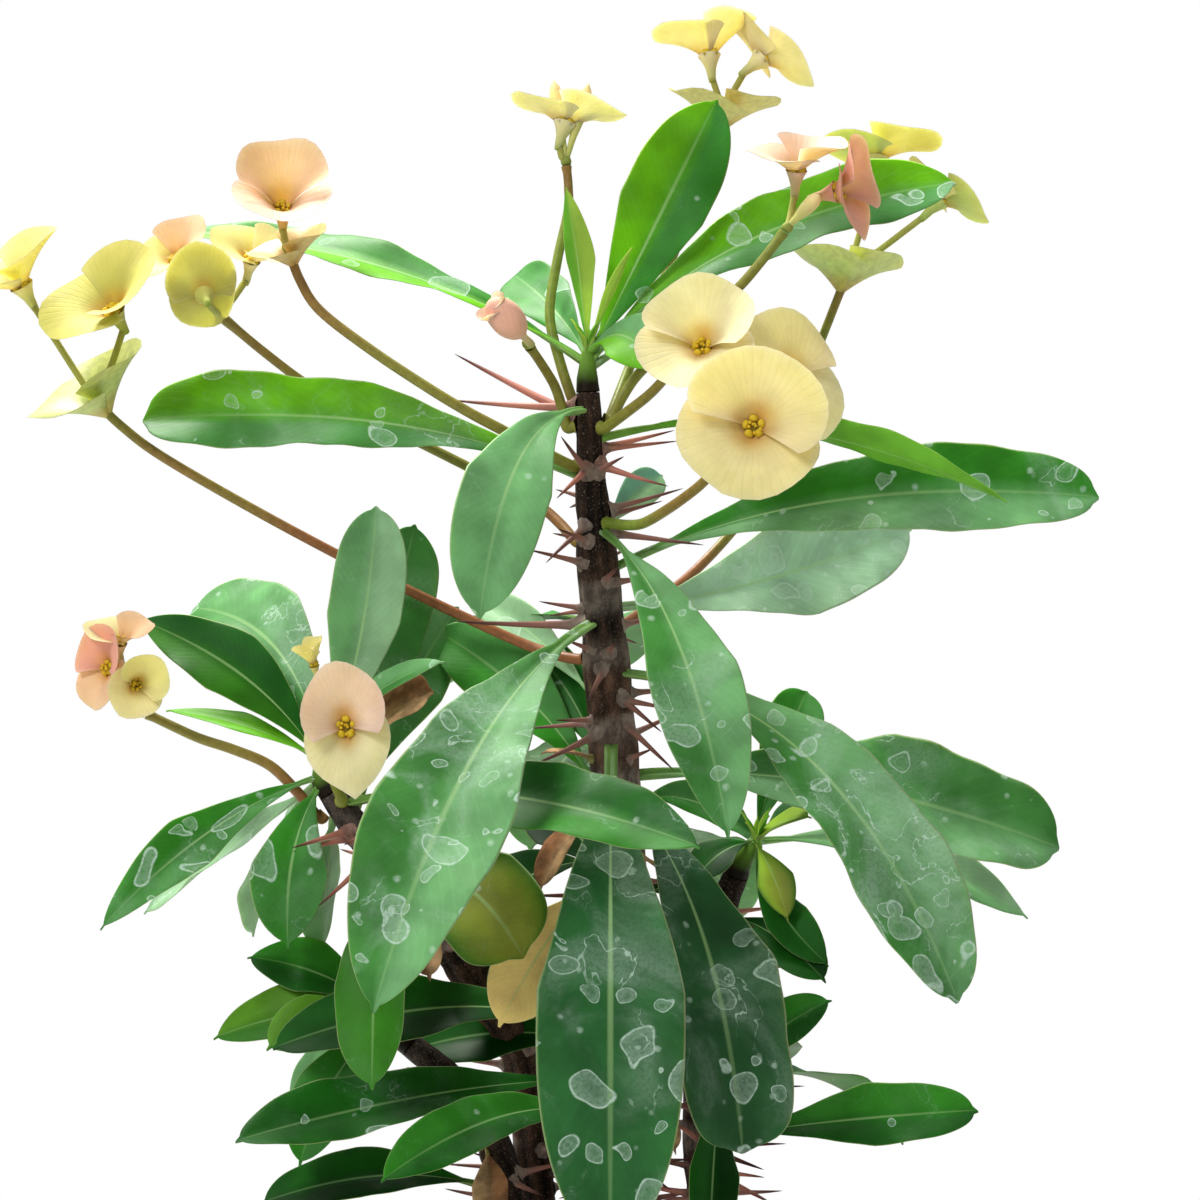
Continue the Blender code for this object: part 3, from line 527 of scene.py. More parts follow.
# %%
SEAT_GAP = 0.3
FOOT_GAP = SEAT_GAP + 0.1
SOIL_TOP = 118.0
UP = np.array([0.0, 0.0, 1.0])
FRONT = np.array([0.0, -1.0, 0.0])
STEMS = {
    "main_stem": (
        [(6, 4, 78), (6, 4, 124), (6, 4, 134), (8, 2, 190), (7, 0, 255), (5, 0, 299), (3, 0, 325), (-1, 0, 370),
         (-3, 0, 402), (-4, 0, 424)],
        [10.0, 10.0, 10.0, 9.5, 9.0, 8.5, 8.2, 7.0, 5.0, 4.4]),
    "left_stem": (
        [(-22, 26, 78), (-22, 26, 124), (-22, 26, 134), (-23, 24, 172), (-28, 16, 204), (-42, 6, 226),
         (-60, -4, 254), (-80, -12, 280), (-88, -14, 292)],
        [7.6, 7.6, 7.6, 7.4, 7.0, 6.6, 6.2, 5.6, 5.0]),
    "right_stem": (
        [(38, 28, 78), (38, 28, 124), (38, 28, 134), (35, 27, 180), (37, 22, 232), (46, 14, 262)],
        [7.0, 7.0, 7.0, 6.8, 6.0, 4.8]),
    "low_left_stem": (
        [(-24, -28, 78), (-24, -28, 124), (-24, -28, 134), (-28, -24, 160), (-42, -14, 190), (-62, -10, 208)],
        [6.0, 6.0, 6.0, 5.8, 5.4, 4.6]),
    "low_right_stem": (
        [(32, -22, 78), (32, -22, 124), (32, -22, 134), (34, -18, 158), (38, -12, 186)],
        [5.6, 5.6, 5.6, 5.2, 4.4]),
}


def stem_line(name, per_span=2):
    """The places along a stem's middle and its radius at each."""
    path, radii = STEMS[name]
    line = curve_through(path, per_span)
    return line, np.interp(line[:, 2], [p[2] for p in path], radii)


def stem_at(name, height):
    """A stem's middle, its direction and its radius at a height."""
    line, radii = stem_line(name)
    height = min(height, line[-1, 2] - 0.01)
    low = int(np.searchsorted(line[:, 2], height, side="right")) - 1
    share = (height - line[low, 2]) / (line[low + 1, 2] - line[low, 2])
    return mix(line[low], line[low + 1], share), unit(line[low + 1] - line[low]), mix(*radii[low:low + 2], share)


def foot_on(name, height, toward, inset):
    """A place just off a stem's skin, on the side that toward is on, and the way out of the stem there."""
    core, way, radius = stem_at(name, height)
    out = square_to(way, np.asarray(toward) - core)
    return core + out * (radius + inset), out


print(len(STEMS), "stems")

# %% [markdown]
# ## The leaves' plan
#
# Single leaves grow straight from a stem, and shoots carry a rosette of them. The leaf tables are plain text, a leaf
# to a line: the height of its foot, its tip, its width, how far it bows up, how far its face is turned to the front in
# degrees, how round its end is, the colours of its left and right halves, and how chalky it is. Where the two halves'
# colours differ, the paler half is painted light and the darker one painted shade.

# %%


def table(text):
    """The rows of a table, each as its words, with the numbers among them made numbers."""
    lines = [line.split() for line in text.split("\n") if line.strip()]
    return [[word if word[0].isalpha() else float(word) for word in line] for line in lines]


def leaf_form(row):
    """A leaf's height of foot, tip and the rest, from a row whose tip is three numbers."""
    return row[0], row[1:4], *row[4:]


# Each line starts with the leaf's name and its stem
SINGLE_LEAVES = {name: (stem, *leaf_form(row)) for name, stem, *row in table("""
    leaf_left_long main_stem 397 -151 0 415 32 9 54 1.35 mid bright 0.35
    leaf_front_left main_stem 418 -37 -66 351 29 17 30 0.7 teal teal 0.12
    leaf_right_long main_stem 366 163.4 -8 389 33 11 62 1 green teal 0.6
    leaf_right_bright main_stem 409 128 -42 387 21 12 -30 0.1 bright bright 0
    leaf_right_back main_stem 352 109 56 380 37 -4 62 0.5 mint mint 1.6
    leaf_front_right main_stem 377 39 -74 284 30 14 20 0.4 teal mid 0.75
    leaf_front_large main_stem 347 -66 -109.3 236 45 17 22 0.4 teal mid 1.1
    leaf_right_front main_stem 330 109 -72 233 37 23 30 0.9 teal mid 0.9
    leaf_right_wide main_stem 296 153 8 272 43 8 52 1 mid teal 0.6
    leaf_front_middle main_stem 306 3 -105 164 46 20 0 0.6 wood wood 0.75
    leaf_front_dark main_stem 289 44 -62 185 39 15 14 1.3 fir fir 0.6
    leaf_back_left main_stem 348 -62 100 322 34 10 0 0.6 mid green 0.3
    leaf_back_middle main_stem 336 10 116.6 330 34 16 0 0.5 green mid 0.3
    leaf_back_low main_stem 300 -26 116 262 36 18 0 0.6 mid dark 0.5
    leaf_back_right main_stem 270 52 110 236 34 16 0 0.5 dark mid 0.4
    leaf_round left_stem 264 -25 -44 243 35 9 60 1.2 olive olive 0.1
    leaf_yellow main_stem 262 -32 -30 219 27 3 62 0.5 yellow yellow 0
    leaf_low_middle left_stem 287 29 -88 281 31 8 40 0.3 dark green 0.35
    leaf_low_dark main_stem 212 -104 -30 211 27 10 40 0.7 deep dark 0
    leaf_low_tip main_stem 196 -112 -60 187 26 4 34 0.7 dark dark 0.2
    leaf_low_left low_left_stem 166 -108 -30 161 24 6 34 0.5 deep dark 0
    leaf_hanging left_stem 268 -71 -58 204 27 8 24 0.5 moss moss 0.1
    leaf_low_front main_stem 184 -66 -74 178 22 9 34 0.4 dark green 0.1
    leaf_low_right low_right_stem 180 123 -12 187 23 1 50 0.8 green dark 0.1
""")}

# A shoot's stem, its top and its leaves
SHOOTS = {
    "main_shoot": ("main_stem", (-4, 0, 440), """
        434 -11 -12 490 12 2 0 0 lime bright 0
        432 39 12 523 31 0 70 0.6 bright green 0.05
        431 119 14 496 30 13 52 0.9 bright mid 0.25
        431 -146 40 483 25 10 30 0.3 bright green 0.2
        434 -30 60 470 21 3 40 1.2 green mid 0.2
        436 18 -31 430 20 8 56 0.4 teal bright 0.1
        429 75 40 446 27 9 10 0.5 teal teal 0.2
        437 10 -14 470 5 1 0 0 lime lime 0
        """),
    "left_shoot": ("left_stem", (-91, -18, 306), """
        298 -152 -4 348 27 7 54 0.1 moss dark 0
        294 -157 -46 252 20 6 50 0.1 mid green 0.6
        300 -74 -8 385 25 -4 66 0.8 teal pale 0.15
        299 -64 28 380 28 -6 60 0.7 mid mid 0.3
        297 -141 42 352 35 17 40 0.9 mid teal 0.6
        301 -51 -34 335 15 6 34 0.3 teal mid 0.1
        301 -144 4 318 11 3 30 0 bright bright 0
        293 -156 30 248 25 0 40 0.3 pale pale 0.4
        292 -120 36 240 29 8 46 0.6 pale pale 0.5
        292 -101 -26 244 26 6 40 0.3 mid green 0.3
        """),
    "right_shoot": ("right_stem", (53, 10, 275), """
        274 148 42 245 27 9 40 0.2 pale teal 0.3
        278 73 58 322 21 3 40 0.9 green mid 0.1
        277 69 -4 283 16 2 30 0.2 lime olive 0
        273 62 -6 250 13 2 30 0.2 olive lime 0
        274 32 0 262 17 3 30 0.4 deep dark 0
        274 106 84 270 28 12 0 0.5 dark green 0.3
        272 74 -14 236 16 -5 40 0.3 dark dark 0
        """),
    "low_left_shoot": ("low_left_stem", (-72, -10, 220), """
        220 -126 -10 211 23 4 40 0.4 moss grass 0
        222 -117 6 235 22 4 40 0.3 dark green 0.05
        218 -107 -24 210 20 4 44 0.6 moss grass 0
        216 -104 12 178 24 8 40 0.7 mid teal 0.1
        215 -96 -34 175 22 6 40 0.4 mid green 0.15
        219 -84 52 196 28 10 0 0.5 dark green 0.2
        """),
    "low_right_shoot": ("low_right_stem", (42, -9, 196), """
        196 75 -12 223 17 3 50 0.5 green dark 0.1
        190 34 -56 148 17 8 20 0.3 deep dark 0
        194 104 34 168 27 12 0 0.5 dark green 0.2
        195 64 60 190 27 10 0 0.5 deep dark 0.1
        """),
}

# Small leaves deep in the plant, that fill it out behind the large ones. Each line starts with the stem
INNER_LEAVES = [(stem, *leaf_form(row)) for stem, *row in table("""
    main_stem 298 -25 36 340 20 5 60 0.6 mid dark 0.2
    main_stem 322 -46 46 357 15 4 50 0.6 pale pale 0.2
    main_stem 292 -56 34 344 27 6 60 0.6 green mid 0
    main_stem 378 21 36 398 13 2 50 0.8 sea pale 0.1
    main_stem 262 -22 40 286 26 3 50 0.6 deep dark 0.1
    main_stem 256 40 24 250 22 4 40 0.6 deep deep 0.1
    main_stem 268 -50 26 240 30 6 50 0.6 deep deep 0
    main_stem 288 52 34 274 22 5 50 0.6 mid green 0.2
    main_stem 206 -64 18 202 24 5 50 0.6 deep dark 0
    left_stem 284 -50 40 352 24 4 60 0.7 teal mid 0.3
    left_stem 286 -94 12 238 23 4 40 0.5 teal pale 0.3
    main_stem 246 -44 8 216 26 5 50 0.6 deep deep 0
    main_stem 250 46 30 214 26 6 50 0.6 deep deep 0
    main_stem 228 -52 30 232 26 6 60 0.6 deep dark 0
    right_stem 250 73 -16 231 17 3 40 0.6 deep dark 0
""")]

# Dead scraps that still hang on the stems
DRY_SCRAPS = [(stem, *leaf_form(row)) for stem, *row in table("""
    left_stem 291 -55 -26 325 19 7 50 1.2 husk tan 0
    main_stem 285 -19 -22 262 13 4 10 0.6 tan husk 0
    left_stem 262 -55 -30 234 12 3 20 0.8 tan husk 0
    main_stem 271 31 -22 257 5 1 20 0.9 tan tan 0
    main_stem 303 -18 -12 305 4 1 20 0.9 tan tan 0
    low_left_stem 176 -34 -44 158 12 3 20 0.8 husk tan 0
    main_stem 200 24 -30 178 9 2 20 0.8 tan tan 0
""")]
print(len(SINGLE_LEAVES), "single leaves,", len(SHOOTS), "shoots and", len(INNER_LEAVES), "inner leaves")

# %% [markdown]
# ## The form of a leaf
#
# A leaf is a bent strip. With t from 0 at its foot to 1 at its tip and s from -1 to 1 across it, its midrib is the
# curve B(t) = (1-t)^2 F + 2t(1-t) M + t^2 T, where F is the foot, T the tip and M a point raised by the bow. Its two
# halves fold up along the midrib, and its edge is waved by a sine along t. Upper face and underside are one closed
# skin, because a real leaf is thin but has a thickness, and its two sides differ in colour.

# %%
LEAF_FOLD = math.radians(13)
PETIOLE_SHARE = 0.1
LEAF_ROWS = 54
LEAF_COLUMNS = 11
LEAF_POINT = 1.4
BEND_AT = 0.42
WAVE_SPACING = 48
FOOT_THICK, BLADE_THICK = 1.1, 0.34
GREENS = {
    "bright": "#62ac0c", "lime": "#9cc03a", "green": "#2f7f1c", "mid": "#42823a", "teal": "#689f64",
    "pale": "#8cb688", "dark": "#185a12", "deep": "#083a08", "olive": "#63801c", "moss": "#2f6f12",
    "grass": "#5c9422", "brown": "#8c9034", "yellow": "#eccd80", "sea": "#74b096", "mint": "#a2cba6",
    "fir": "#26542c", "wood": "#2a6230", "tan": "#b9946c", "husk": "#9a6c4a",
}


def leaf_width(t, end):
    """Half width along the blade as a share of its widest: a wedge w = min(1, 0.12 + 1.55 b) - 0.18 max(0, 0.57 - b)
    that starts past the petiole, closed by (1 - ((b - c) / (1 - c))^p)^q, where the end's roundness sets c, p and q."""
    b = np.clip((t - PETIOLE_SHARE) / (1 - PETIOLE_SHARE), 0, None)
    wedge = np.minimum(1, 0.12 + 1.55 * b) - 0.18 * np.clip(0.57 - b, 0, None)
    start = 0.5 + 0.2 * end
    close = np.clip(1 - np.clip((b - start) / (1 - start), 0, 1) ** (1.9 + 1.3 * end), 0, None) ** (0.8 - 0.32 * end)
    return np.maximum(0.1 * (1 - 0.7 * t), wedge * close)


def two_faces(columns):
    """Places from -1 to 1 across a blade's upper face and back across its underside, closest at the edges, and 1 or
    -1 for the face that each lies on."""
    across = np.sin(np.linspace(-math.pi / 2, math.pi / 2, columns))
    back = across[-2:0:-1]
    return np.concatenate([across, back])[None, :], np.concatenate([0 * across + 1, 0 * back - 1])[None, :]


def leaf_patch(foot, tip, width, bow, face, end, left, right, chalk, sunk=1.0):
    """One leaf as a closed thin skin: its upper face and its underside, joined at the edges."""
    foot, tip = np.asarray(foot, float), np.asarray(tip, float)
    chord = tip - foot
    way = unit(chord)
    rise = square_to(way, UP)
    front = FRONT - way * np.dot(FRONT, way)
    front = front - rise * np.dot(front, rise)
    front = unit(front) if np.linalg.norm(front) > 1e-3 else np.cross(way, rise)
    turn = math.radians(face)
    middle = foot + chord * BEND_AT + rise * (2 * bow)
    half = width / 2
    waves = np.linalg.norm(chord) / WAVE_SPACING
    phase = sum(tip) * 0.37

    run = np.linspace(0, 1, LEAF_ROWS)
    t = (1 - (1 - run) ** 1.5)[:, None]
    s, face_side = two_faces(LEAF_COLUMNS)
    t3 = t[..., None]
    line = foot * (1 - t3) ** 2 + middle * (2 * t3 * (1 - t3)) + tip * t3 ** 2
    going = unit((middle - foot) * (1 - t3) + (tip - middle) * t3)
    up = square_to(going, rise * math.cos(turn) + front * math.sin(turn))
    side = np.cross(going, up)
    shape = leaf_width(t, end)
    reach = s * np.maximum(mix(0.6, 0.12, step(0.9, 1.0, t)), half * shape)
    uneven = 1 + 0.035 * np.sin(9 * t + phase + 2 * np.sign(s)) * (1 - t)
    wave = 0.055 * width * np.sin(2 * math.pi * waves * t + phase + 1.3 * s) * np.abs(s) * shape
    ripple = 0.012 * width * np.sin(2 * math.pi * waves * 3.1 * t + 2 * phase + s) * s ** 4 * shape
    thick = mix(FOOT_THICK, BLADE_THICK, step(0.03, 0.2, t)) * np.sqrt(np.clip(1 - s ** 2, 0, 1)) ** 0.7
    rib = np.exp(-(s / 0.09) ** 2) * (1 - t)
    skin = np.where(face_side > 0, thick - 0.5 * rib, -thick - 0.9 * rib)
    lift = np.abs(reach) * math.sin(LEAF_FOLD) + wave + ripple + skin
    points = line + side * (reach * math.cos(LEAF_FOLD) * uneven)[..., None] + up * lift[..., None]
    points[0] -= going[0] * sunk
    points[-1] += going[-1] * LEAF_POINT - UP * LEAF_POINT * 0.3

    # The colours of the two halves: where they differ, the paler half is painted light and the darker one painted
    # shade.
    a, b = rgb(GREENS[left]), rgb(GREENS[right])
    tint = mix(a, b, step(-0.12, 0.12, np.broadcast_to(s, points.shape[:2]))[..., None])
    depth = noise(points, 26, 3)[..., None]
    tint = tint * mix(0.82, 1.18, depth)
    under = tint * 0.85 + rgb("#8fae7e") * 0.15
    tint = np.where((face_side < 0)[..., None], under, tint)
    foot_glow = (1 - step(0.0, 0.22, t))[..., None]
    tint = mix(tint, rgb("#8fb45a"), 0.55 * foot_glow)
    if left == "olive":
        tint = mix(tint, rgb(GREENS["brown"]), (0.75 * step(1.0, 0.3, np.abs(s)) * step(0.2, 0.7, t))[..., None])
        tint = mix(tint, rgb(GREENS["dark"]), (0.7 * step(0.7, 1.0, np.abs(s)) + 0 * t)[..., None])
    uv = np.stack(np.broadcast_arrays(s * 0.5 + 0.5, t), axis=-1)
    return patch(points, tint, uv, rough=chalk)


print("leaf form ready")

# %% [markdown]
# ## Single leaves and loose ones
#
# The large leaves each take the place of a solid. The small inner leaves and the dead scraps that still hang on the
# stems fill the plant out, and stand for no solid.

# %%


def single_leaf(name):
    """One large leaf that grows straight from a woody stem."""
    stem, height, tip, *form = SINGLE_LEAVES[name]
    foot, _ = foot_on(stem, height, tip, FOOT_GAP)
    blade = leaf_patch(foot, tip, *form)
    return build(name + "_blade", [blade], LEAF, name)


def loose_leaves(name, rows, material):
    """Small leaves or dead scraps on the stems, as one piece that stands for no solid of its own."""
    patches = []
    for stem, height, tip, *form in rows:
        foot, _ = foot_on(stem, height, tip, -0.6)
        patches.append(leaf_patch(foot, tip, *form))
    return build(name, patches, material, None)


for name in SINGLE_LEAVES:
    single_leaf(name)
loose_leaves("inner_leaves", INNER_LEAVES, LEAF)
loose_leaves("dry_scraps", DRY_SCRAPS, DRY)
print("single and loose leaves made")

# %% [markdown]
# ## Green shoot tips
#
# At a stem's end the bark gives way to a soft green tip, where the young leaves stand close together round a tuft of
# scales.

# %%
SCALES = 5
SPIRAL_TURN = 2.4


def shoot_core(stem, top):
    """The line of a green shoot tip: it goes on from the end of its stem's bark to its top."""
    line, _ = stem_line(stem)
    going = unit(line[-1] - line[-2])
    start = line[-1] + going * FOOT_GAP
    return np.array([start, start + going * 4.5, top], float)


def shoot_foot(core, height):
    """Where a leaf grows out of a shoot tip."""
    share = (height - core[0, 2]) / (core[2, 2] - core[0, 2])
    return mix(core[1], core[2], min(0.8, max(0.0, share)))


def shoot(name):
    """A green shoot tip with all its leaves, and a tuft of small bud scales at its top."""
    stem, top, leaves = SHOOTS[name]
    core = shoot_core(stem, top)
    thick = STEMS[stem][1][-1] - 0.4
    line = curve_through(core, 8)
    radii = np.interp(np.linspace(0, 1, len(line)), [0, 0.5, 0.9, 1], [thick, thick * 0.9, 2.2, 0.4])
    rings, _ = sweep(line, radii, 16)
    share = np.linspace(0, 1, len(line))[:, None, None]
    patches = [patch(rings, mix(rgb("#1c140a"), rgb("#6a9434"), step(0.3, 0.85, share)))]
    for height, tip, *form in map(leaf_form, table(leaves)):
        patches.append(leaf_patch(shoot_foot(core, height), tip, *form, sunk=2.0))
    for index in range(SCALES):
        turn = index * SPIRAL_TURN + 0.6
        tip = np.array(top) + (5 * math.cos(turn), 5 * math.sin(turn), 9 - index)
        patches.append(leaf_patch(np.array(top) - (0, 0, 3), tip, 3.2, 0.6, 20, 0, "lime", "bright", 0))
    return build(name + "_leaves", patches, LEAF, name)


for name in SHOOTS:
    shoot(name)
print("shoots made")

# %% [markdown]
# ## The flower heads' plan
#
# A stalk leaves its stem, passes some places and ends at a fork, where one to three blooms stand on foot stalks of
# their own. Some stalks carry a pair of small leaves just below the fork.

# %%
# name: (stem, height, via, fork, blooms, tips of buds, pair of small leaves' span, their colour)
# each bloom: (centre, facing, span, spin, cup, width, first bract's colour, second bract's colour)
HEADS = {
    "top": ("main_stem", 421, [(-17, 14, 452), (-11, 26, 488)], (-11.5, 28, 504),
            [((-12, 29, 519), (0.28, 0.16, 1), 41, 0, 12, 0.6, "cream", "cream")],
            [(-16, 31, 534), (-4, 31, 533)], 0, "yellow"),
    "high_right": ("main_stem", 408, [(12, 34, 440), (32, 40, 492)], (43, 40, 523),
                   [((38, 38, 544.2), (-0.1, 0.2, 1), 40, 10, 26, 0.7, "cream", "cream"),
                    ((56, 38, 543), (0.72, 0.2, 0.6), 40, 0, 10, 0.66, "cream", "cream")], [], 42, "yellow"),
    "pink_right": ("main_stem", 415, [(14, 6, 432), (44, -16, 456)], (60, -20, 475),
                   [((64, -20, 495), (0.05, -0.4, 1), 36, 20, 20, 0.75, "blush", "blush"),
                    ((77, -20, 488), (1, -0.45, 0.2), 38, 90, 20, 0.75, "salmon", "salmon")],
                   [(71, -27, 486)], 0, "yellow"),
    "far_right": ("main_stem", 346, [(34, 44, 366), (62, 66, 400), (76, 62, 440)], (87, 56, 469),
                  [((98, 58, 512), (0.1, 0.15, 1), 46, 0, 8, 0.8, "yellow", "lime"),
                   ((120, 54, 496), (0.7, 0.1, 0.7), 36, 0, 10, 0.8, "lime", "yellow")], [], 44, "lime"),
    "front_low": ("main_stem", 380, [(14, -22, 380), (30, -44, 390)], (38, -56, 398),
                  [((47, -75, 408), (-0.1, -1, 0.16), 47, 66, 14, 1.02, "butter", "butter")], [], 0, "yellow"),
    "front_high": ("main_stem", 412, [(16, -20, 422)], (26, -38, 432),
                   [((32, -56, 434), (-0.22, -0.85, 0.5), 42, 72, 22, 0.98, "cream", "cream"),
                    ((61, -43, 426), (0.5, -0.8, 0.3), 46, 128, -4, 0.85, "butter", "cream")], [], 0, "yellow"),
    "bud_left": ("main_stem", 413, [(-15, -1, 426)], (-23, -14, 438),
                 [((-27, -22, 443), (-0.6, -0.5, 0.6), 26, 20, 58, 0.7, "blush", "peach")], [], 0, "yellow"),
    "arched_left": ("main_stem", 400, [(-33, -18, 411), (-56, -22, 424), (-91, -22, 449)], (-101, -22, 468),
                    [((-103, -24, 482), (0.08, -0.74, 0.67), 42, 94, 32, 0.9, "peach", "blush")], [], 30, "tan"),
    "back_left": ("main_stem", 375, [(-22, 20, 388), (-60, 24, 408), (-99, 20, 428)], (-127, 10, 450),
                  [((-143, 13, 470), (-0.35, -0.7, 0.7), 32, 20, 20, 0.8, "peach", "yellow"),
                   ((-131, -6, 456), (-0.25, 0.9, 0.42), 33, 88, 24, 0.8, "olive", "olive"),
                   ((-118, 14, 470), (0.3, -0.6, 0.8), 32, -10, 20, 0.8, "butter", "yellow")], [], 0, "yellow"),
    "far_left": ("main_stem", 336, [(-28, 14, 341), (-88, 10, 370), (-146, -4, 403)], (-166, -8, 420),
                 [((-160, -14, 450), (-0.34, -0.6, 0.64), 46, 14, 18, 0.94, "olive", "olive"),
                  ((-191.2, -8, 459), (-0.42, -0.42, 0.8), 42, 8, 22, 0.85, "yellow", "yellow")], [], 48, "lime"),
    "low_left": ("left_stem", 288, [(-108, -18, 301), (-130, -23, 310)], (-147, -24, 318),
                 [((-158, -31, 333), (-0.6, -0.8, 0.2), 28, 80, 14, 0.8, "salmon", "peach"),
                  ((-155, -28, 341), (0.1, -0.5, 0.9), 24, 0, 24, 0.8, "peach", "cream"),
                  ((-149, -35, 328), (0.35, -0.85, 0.0), 25, 55, 34, 0.85, "yellow", "butter")], [], 0, "yellow"),
    "low_front": ("left_stem", 289, [(-86, -30, 298)], (-82, -38, 304),
                  [((-80, -50, 315), (0.05, -1, 0.12), 41, 98, 12, 0.7, "blush", "cream"),
                   ((-91, -40, 334), (-0.2, -0.4, 1), 17, 40, 55, 0.8, "yellow", "yellow")], [], 0, "yellow"),
}
# How far a pair of small leaves is tipped to the back, and how brown a stalk is near its foot
UNDER_LEAN = {"high_right": -0.12, "far_right": 0.3, "arched_left": -0.55, "far_left": -0.4}
STALK_WARMTH = {"far_left": 0.8, "back_left": 0.3, "far_right": 0.5, "low_left": 0.5, "arched_left": 0.15}
print(len(HEADS), "flower heads with", sum(len(head[4]) for head in HEADS.values()), "blooms")

# %% [markdown]
# ## The form of a bloom
#
# What looks like a petal is a bract. Each bloom has two, a disc each, hung on its rim at the bloom's middle and
# risen into a shallow cup. Between them stands a small green cup with five glands round its mouth.

# %%
BRACT_ROWS = 16
BRACT_COLUMNS = 25
BRACT_FAN = math.radians(106)
GLANDS, STAMENS = 5, 7
BRACTS = {
    "cream": "#f8e8b2", "yellow": "#eee08e", "butter": "#f9e2a4", "peach": "#f4c29c", "salmon": "#f0a592",
    "blush": "#f3cdb2", "olive": "#c6c168", "lime": "#c2d07c", "tan": "#d9bc7a",
}


def bract_patch(bloom, side, colour, point=0.0):
    """One bract as a closed thin skin: a fan round the bloom's middle. With a bearing b = 106 s degrees, its reach is
    r = R v (1 - 0.25 |s|^6), and it flares like a trumpet's mouth, by r sin(cup) + 0.3 R (1 - (1 - v)^2.4)."""
    centre, facing, span, spin, cup, width = (np.asarray(v, float) for v in bloom[:6])
    facing = unit(facing)
    level = square_to(facing, np.array([1, 0, 0.01]))
    turn = np.radians(spin)
    out = (level * np.cos(turn) + np.cross(facing, level) * np.sin(turn)) * side
    sideways = np.cross(facing, out)
    rise = np.radians(cup - 5 + 5 * side)
    far = np.linspace(0.06, 1, BRACT_ROWS)[:, None]
    s, face_side = two_faces(BRACT_COLUMNS)
    bearing = s * BRACT_FAN
    uneven = 1 + 0.02 * np.sin(5 * bearing + centre[2]) * far + point * np.exp(-(s / 0.1) ** 2) * far ** 6
    reach = span / 2 * far * (1 - 0.25 * np.abs(s) ** 6) * uneven
    ruffle = 0.022 * span * np.sin(4 * bearing + centre[0]) * far ** 2
    overlap = side * 0.035 * span * np.abs(s) ** 4 * far
    flare = span * (0.15 * (1 - (1 - far) ** 2.4) - 0.06)
    lift = reach * np.sin(rise) + flare + ruffle + overlap
    lift = lift + 0.2 * face_side * np.sqrt(1 - np.abs(s) ** 4) * (1 - 0.8 * far ** 8)
    points = (centre + out * (reach * np.cos(rise) * np.cos(bearing))[..., None] + facing * lift[..., None]
              + sideways * (reach * np.cos(rise) * width * np.sin(bearing))[..., None])
    base = rgb(BRACTS[colour])
    near = (np.exp(-((far / 0.33) ** 4)) * (0.85 + 0.15 * np.cos(3 * bearing)))[..., None]
    tint = mix(base, rgb("#cc8a16"), (0.85 if facing[1] < -0.5 else 0.6) * near)
    warm = colour in ("peach", "salmon", "blush")
    flush = step(0.45, 1.0, far + 0 * s)[..., None] * noise(points, 11, 5)[..., None]
    tint = mix(tint, rgb("#eb9a7c") if warm else rgb("#e6d27c"), 0.4 * flush)
    # Painted shade: the bract is darker near the bloom's middle, deep in the cup, and at its sides near the middle,
    # where the two bracts meet.
    shade = (0.82 + 0.18 * step(0.1, 0.7, far + 0 * s))[..., None]
    shade = shade * (1 - 0.14 * np.abs(s) ** 6 * (1 - far))[..., None]
    tint = tint * shade * mix(0.94, 1.04, noise(points, 7, 8)[..., None])
    tint = np.where((face_side < 0)[..., None], tint * 0.94, tint)
    uv = np.stack([np.sin(bearing) * far * 0.5 + 0.5, np.cos(bearing) * far + 0 * s], axis=-1)
    return patch(points, tint, uv)


def bloom_centre(centre, facing, span):
    """The small cup, its five glands and the tuft of stamens in its mouth."""
    facing = unit(np.asarray(facing, float))
    centre = np.asarray(centre, float)
    gland = min(4.4, span * 0.11)
    level = square_to(facing, np.array([1, 0.1, 0.02]))
    other = np.cross(facing, level)
    cup = [(gland * 0.3, -1.4), (gland * 0.5, 0.3), (gland * 0.6, 1.4), (gland * 0.5, 1.6), (gland * 0.35, 0.9),
           (0.01, 0.6)]
    patches = [patch(turned(cup, centre, facing, 16), rgb("#c6b048"))]
    for index in range(GLANDS):
        turn = 2 * math.pi * index / GLANDS + 0.3
        out = level * math.cos(turn) + other * math.sin(turn)
        place = centre + out * gland * 0.6 + facing * 1.6
        patches.append(ball(place, out + facing * 0.3, gland * 0.28, gland * 0.34, rgb("#dcbc30")))
    for index in range(STAMENS):
        turn = index * SPIRAL_TURN
        out = level * math.cos(turn) + other * math.sin(turn)
        root = centre + out * gland * 0.22 + facing * 0.6
        tip = centre + out * gland * 0.42 * ((index % 3) / 2 + 0.3) + facing * (2.6 + 0.5 * (index % 3))
        rings, _ = sweep(np.linspace(root, tip, 4), [0.28, 0.24, 0.24, 0.22], 6)
        patches.append(patch(rings, rgb("#c9b24a")))
        patches.append(ball(tip, facing, 0.5, 0.55, rgb("#e3b92c"), 6, 8))
    return patches


print("bloom form ready")

# %% [markdown]
# ## Heads and stalks
#
# Each bloom widens from a green neck on a foot stalk. The stalk below the fork is lightly ribbed, brown near the
# stem and green above. Closed buds are the same parts, drawn narrow.

# %%
FOOT_STALK = 1.15
STALK_SIDES = 14
BUD_SHARE = np.linspace(0, 1, 13)
BUD_RADII = np.interp(BUD_SHARE, [0, 0.3, 0.55, 0.8, 0.94, 1], [0.9, 1.2, 2.3, 2.5, 1.7, 0.3])


def stalk_knots(name):
    """The places that a head's stalk goes through, from its stem's skin to its fork."""
    stem, height, via, fork, *_ = HEADS[name]
    foot, out = foot_on(stem, height, via[0], FOOT_GAP)
    return np.vstack([foot, curve_through([foot + out * 2.5, *via, fork], 2)])


